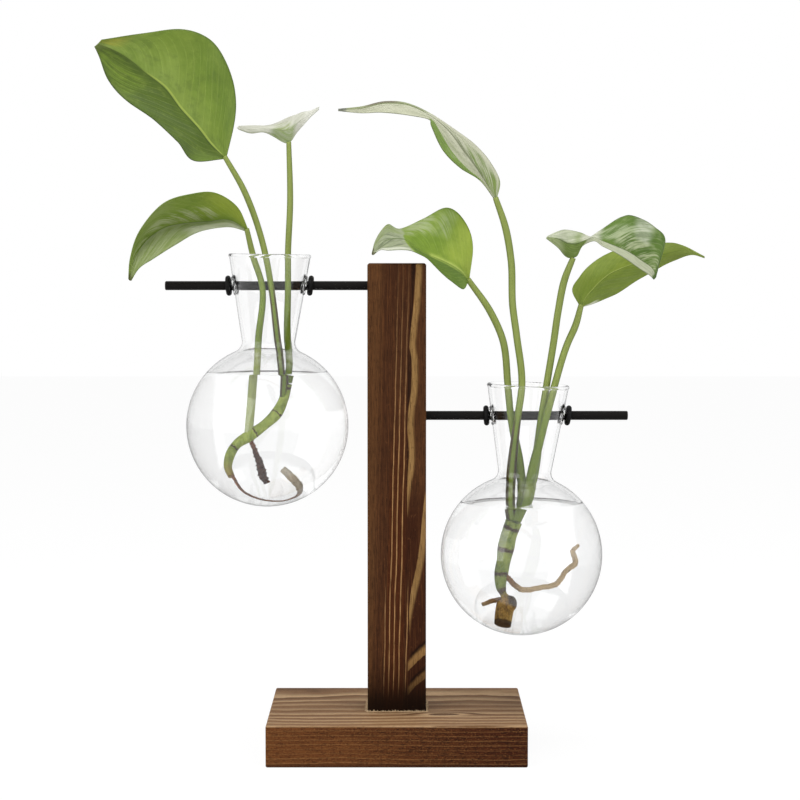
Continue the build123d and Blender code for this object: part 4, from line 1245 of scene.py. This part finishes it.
def make_petioles(side):
    """A bulb's leaf stalks as one piece; each runs on a little into its leaf and thins towards it."""
    hang_level = bulbs[side][0][2]
    mouth = hang_level + mouth_height
    plain = petiole_finish(side + "_petiole_green", mouth, 0.0)
    seamed = petiole_finish(side + "_seamed_green", mouth, 0.85)
    finishes = {"left_large": seamed, "right_long": seamed}
    if side == "left":
        finishes["left_drooping"] = petiole_finish("left_soaked_green", mouth, 0.0, 0.85)
    run_on, tip_share, sheath_below_rod = 1.2, 0.8, 5.0
    stalks = []
    for name in [key for key in petiole_shares if key.startswith(side)]:
        route = petiole_route(name)
        route[0] = route[0] + unit(route[0] - route[1]) * run_on
        radii = np.full(len(route), petiole_radius[side])
        radii[0] = petiole_radius[side] * tip_share
        # Below the rod it widens into the sheath that clasps the stem.
        radii[route[:, 2] < hang_level - sheath_below_rod] = petiole_radius[side] * sheath_share[side]
        stalks.append(tube(name + "_stalk", route, radii))
        stalks[-1].data.materials.append(finishes.get(name, plain))
    bunch = join(side + "_stalks", stalks)
    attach(bunch, side + "_vessel")
    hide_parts(side + "_petioles")


def make_vine(side):
    """A cutting's woody stem, with a brown ring at each of its nodes."""
    places, radii = vines[side]
    vine = tube(side + "_stem", in_world(side, places), radii, sides=32, count=160)
    if side == "left":
        scars = [(1.2, 0.4), (11.0, 0.2), (21.5, 0.22), (31.0, 0.3)]
        finish = vine_finish("left_vine_green", rgb(136, 160, 40), rgb(194, 211, 96), scars, 48.0, 34.0)
    else:
        scars = [(2.6, 0.5), (10.6, 0.65), (19.5, 0.6), (25.6, 0.8)]
        finish = vine_finish("right_vine_green", rgb(104, 126, 40), rgb(164, 178, 82), scars, 30.0, 24.0)
    vine.data.materials.append(finish)
    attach(vine, side + "_vessel")
    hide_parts(side + "_vine")


def make_roots(side):
    """A cutting's roots as one piece. The left one has a crumbling dead root and one that ends in a
    pale husk; the right ones are alike, and thicker than their routes' radii."""
    if side == "left":
        brown, umber = rgb(150, 92, 58), rgb(92, 54, 38)
        dead = root_finish("dead_root", brown, umber, 2.0, 9.0, rgb(40, 22, 14))
        tan, husk = rgb(176, 106, 48), rgb(255, 244, 220)
        pale = root_finish("husk_root", tan, husk, 34.0, 42.0, rgb(176, 140, 100))
        skins = [(dead, 1.0, knobbly(0.42, 2.3)), (pale, 1.0, knobbly(0.16, 1.9))]
    else:
        tan, straw = rgb(150, 108, 62), rgb(240, 210, 162)
        live = root_finish("tan_root", tan, straw, 4.0, 12.0, rgb(122, 82, 44))
        skins = [(live, 1.25, knobbly(0.16, 1.9))] * 2
    strands = []
    for number, ((places, radii), (finish, thicker, skin)) in enumerate(zip(roots[side], skins)):
        thick = np.array(radii) * thicker
        strands.append(tube(f"{side}_root_{number}", in_world(side, places), thick, 16, 180, skin))
        strands[-1].data.materials.append(finish)
    tangle = join(side + "_root_tangle", strands)
    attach(tangle, side + "_vessel")
    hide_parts(side + "_roots")


def glue_line():
    """Thin ragged line of dried glue and raised fibres round the post's foot: a strip on the base
    whose height and reach along the four sides are powers of seeded random numbers."""
    rng = np.random.default_rng(7)
    per_side, clear, sunk = 160, 0.02, 0.02
    turn = np.linspace(0, 4, per_side * 4, endpoint=False)
    corner = np.array([[-1, -1], [1, -1], [1, 1], [-1, 1]], float) * (post_half + clear)
    start = turn.astype(int)
    share = (turn - start)[:, None]
    foot = corner[start] * (1 - share) + corner[(start + 1) % 4] * share
    out = unit(np.where(np.abs(foot) > post_half, np.sign(foot), 0))
    height = 0.25 + 0.9 * rng.random(len(turn)) ** 3
    reach = 0.5 + 1.1 * rng.random(len(turn)) ** 2
    level = np.full(len(turn), base_top)
    inner = np.column_stack([foot, level + height])
    middle = np.column_stack([foot + out * (reach * 0.45)[:, None], level + height * 0.55])
    outer = np.column_stack([foot + out * reach[:, None], level - sunk])
    under = np.column_stack([foot, level - sunk])
    points = np.stack([inner, middle, outer, under], 1).reshape(-1, 3)
    count = len(turn)
    ring = np.arange(count)[:, None] * 4
    after = (np.arange(count)[:, None] + 1) % count * 4
    part = np.arange(4)[None, :]
    faces = np.stack([ring + part, ring + (part + 1) % 4, after + (part + 1) % 4, after + part], -1)
    line = add_mesh("glue_line", points, faces.reshape(-1, 4))
    finish = Finish("dry_glue")
    x, y, z = finish.place()
    grain = finish.cloud((x * 2.0, y * 2.0, z * 2.0), 2.0)
    colour = finish.mix(grain, rgb(150, 110, 70), rgb(244, 218, 176))
    dried = finish.shade(Base_Color=colour, Roughness=0.7, Normal=finish.bump(grain, 0.1))
    line.data.materials.append(dried)
    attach(line, "stand")


# The whole

def dress(node, finish):
    """Give a CAD node its finish."""
    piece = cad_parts[node]
    piece.data.materials.clear()
    piece.data.materials.append(finish)


def set_leaf(plant, stalk_width=1.6, crown=0.05, ripple=0.3):
    """A blade at the end of its petiole."""
    side = plant.split("_")[0]
    end, before = petiole_route(plant)[:2]
    base = end + unit(end - before) * leaf_gap
    leaf_blade(plant + "_leaf", side, base, leaf_length[plant], stalk_width, crown, ripple)


stage_world()
stage_floor()
stage_camera()
soft_lamp("top_light", (0, -150, 1100), (0, 0, 150), 900, 7.0, mirrored=False)
soft_lamp("left_light", (-800, -700, 500), (0, 0, 170), 1000, 4.0)
soft_lamp("right_light", (900, -500, 450), (0, 0, 170), 1000, 2.5)
bpy.context.scene.view_settings.view_transform = "Standard"

dress("base_block", base_wood())
dress("upright_post", post_wood())
dress("post_screws", screw_steel())
steel = black_steel()
dress("upper_rod", steel)
dress("lower_rod", steel)
rubber = ring_rubber()
for ring_node in ("left_outer_ring", "left_inner_ring", "right_inner_ring", "right_outer_ring"):
    dress(ring_node, rubber)
glass = clear_glass()
dress("left_bulb", glass)
dress("right_bulb", glass)
glue_line()

for side in bulbs:
    water_body(side, water_level[side])
for side in bulbs:
    make_petioles(side)
    make_vine(side)
    make_roots(side)
set_leaf("left_large", crown=0.07, ripple=0.6)
set_leaf("left_drooping", ripple=0.4)
set_leaf("left_young", stalk_width=0)
set_leaf("right_long", ripple=0.2)
set_leaf("right_arched", crown=0.07)
set_leaf("right_curled", stalk_width=0)
set_leaf("right_rear")
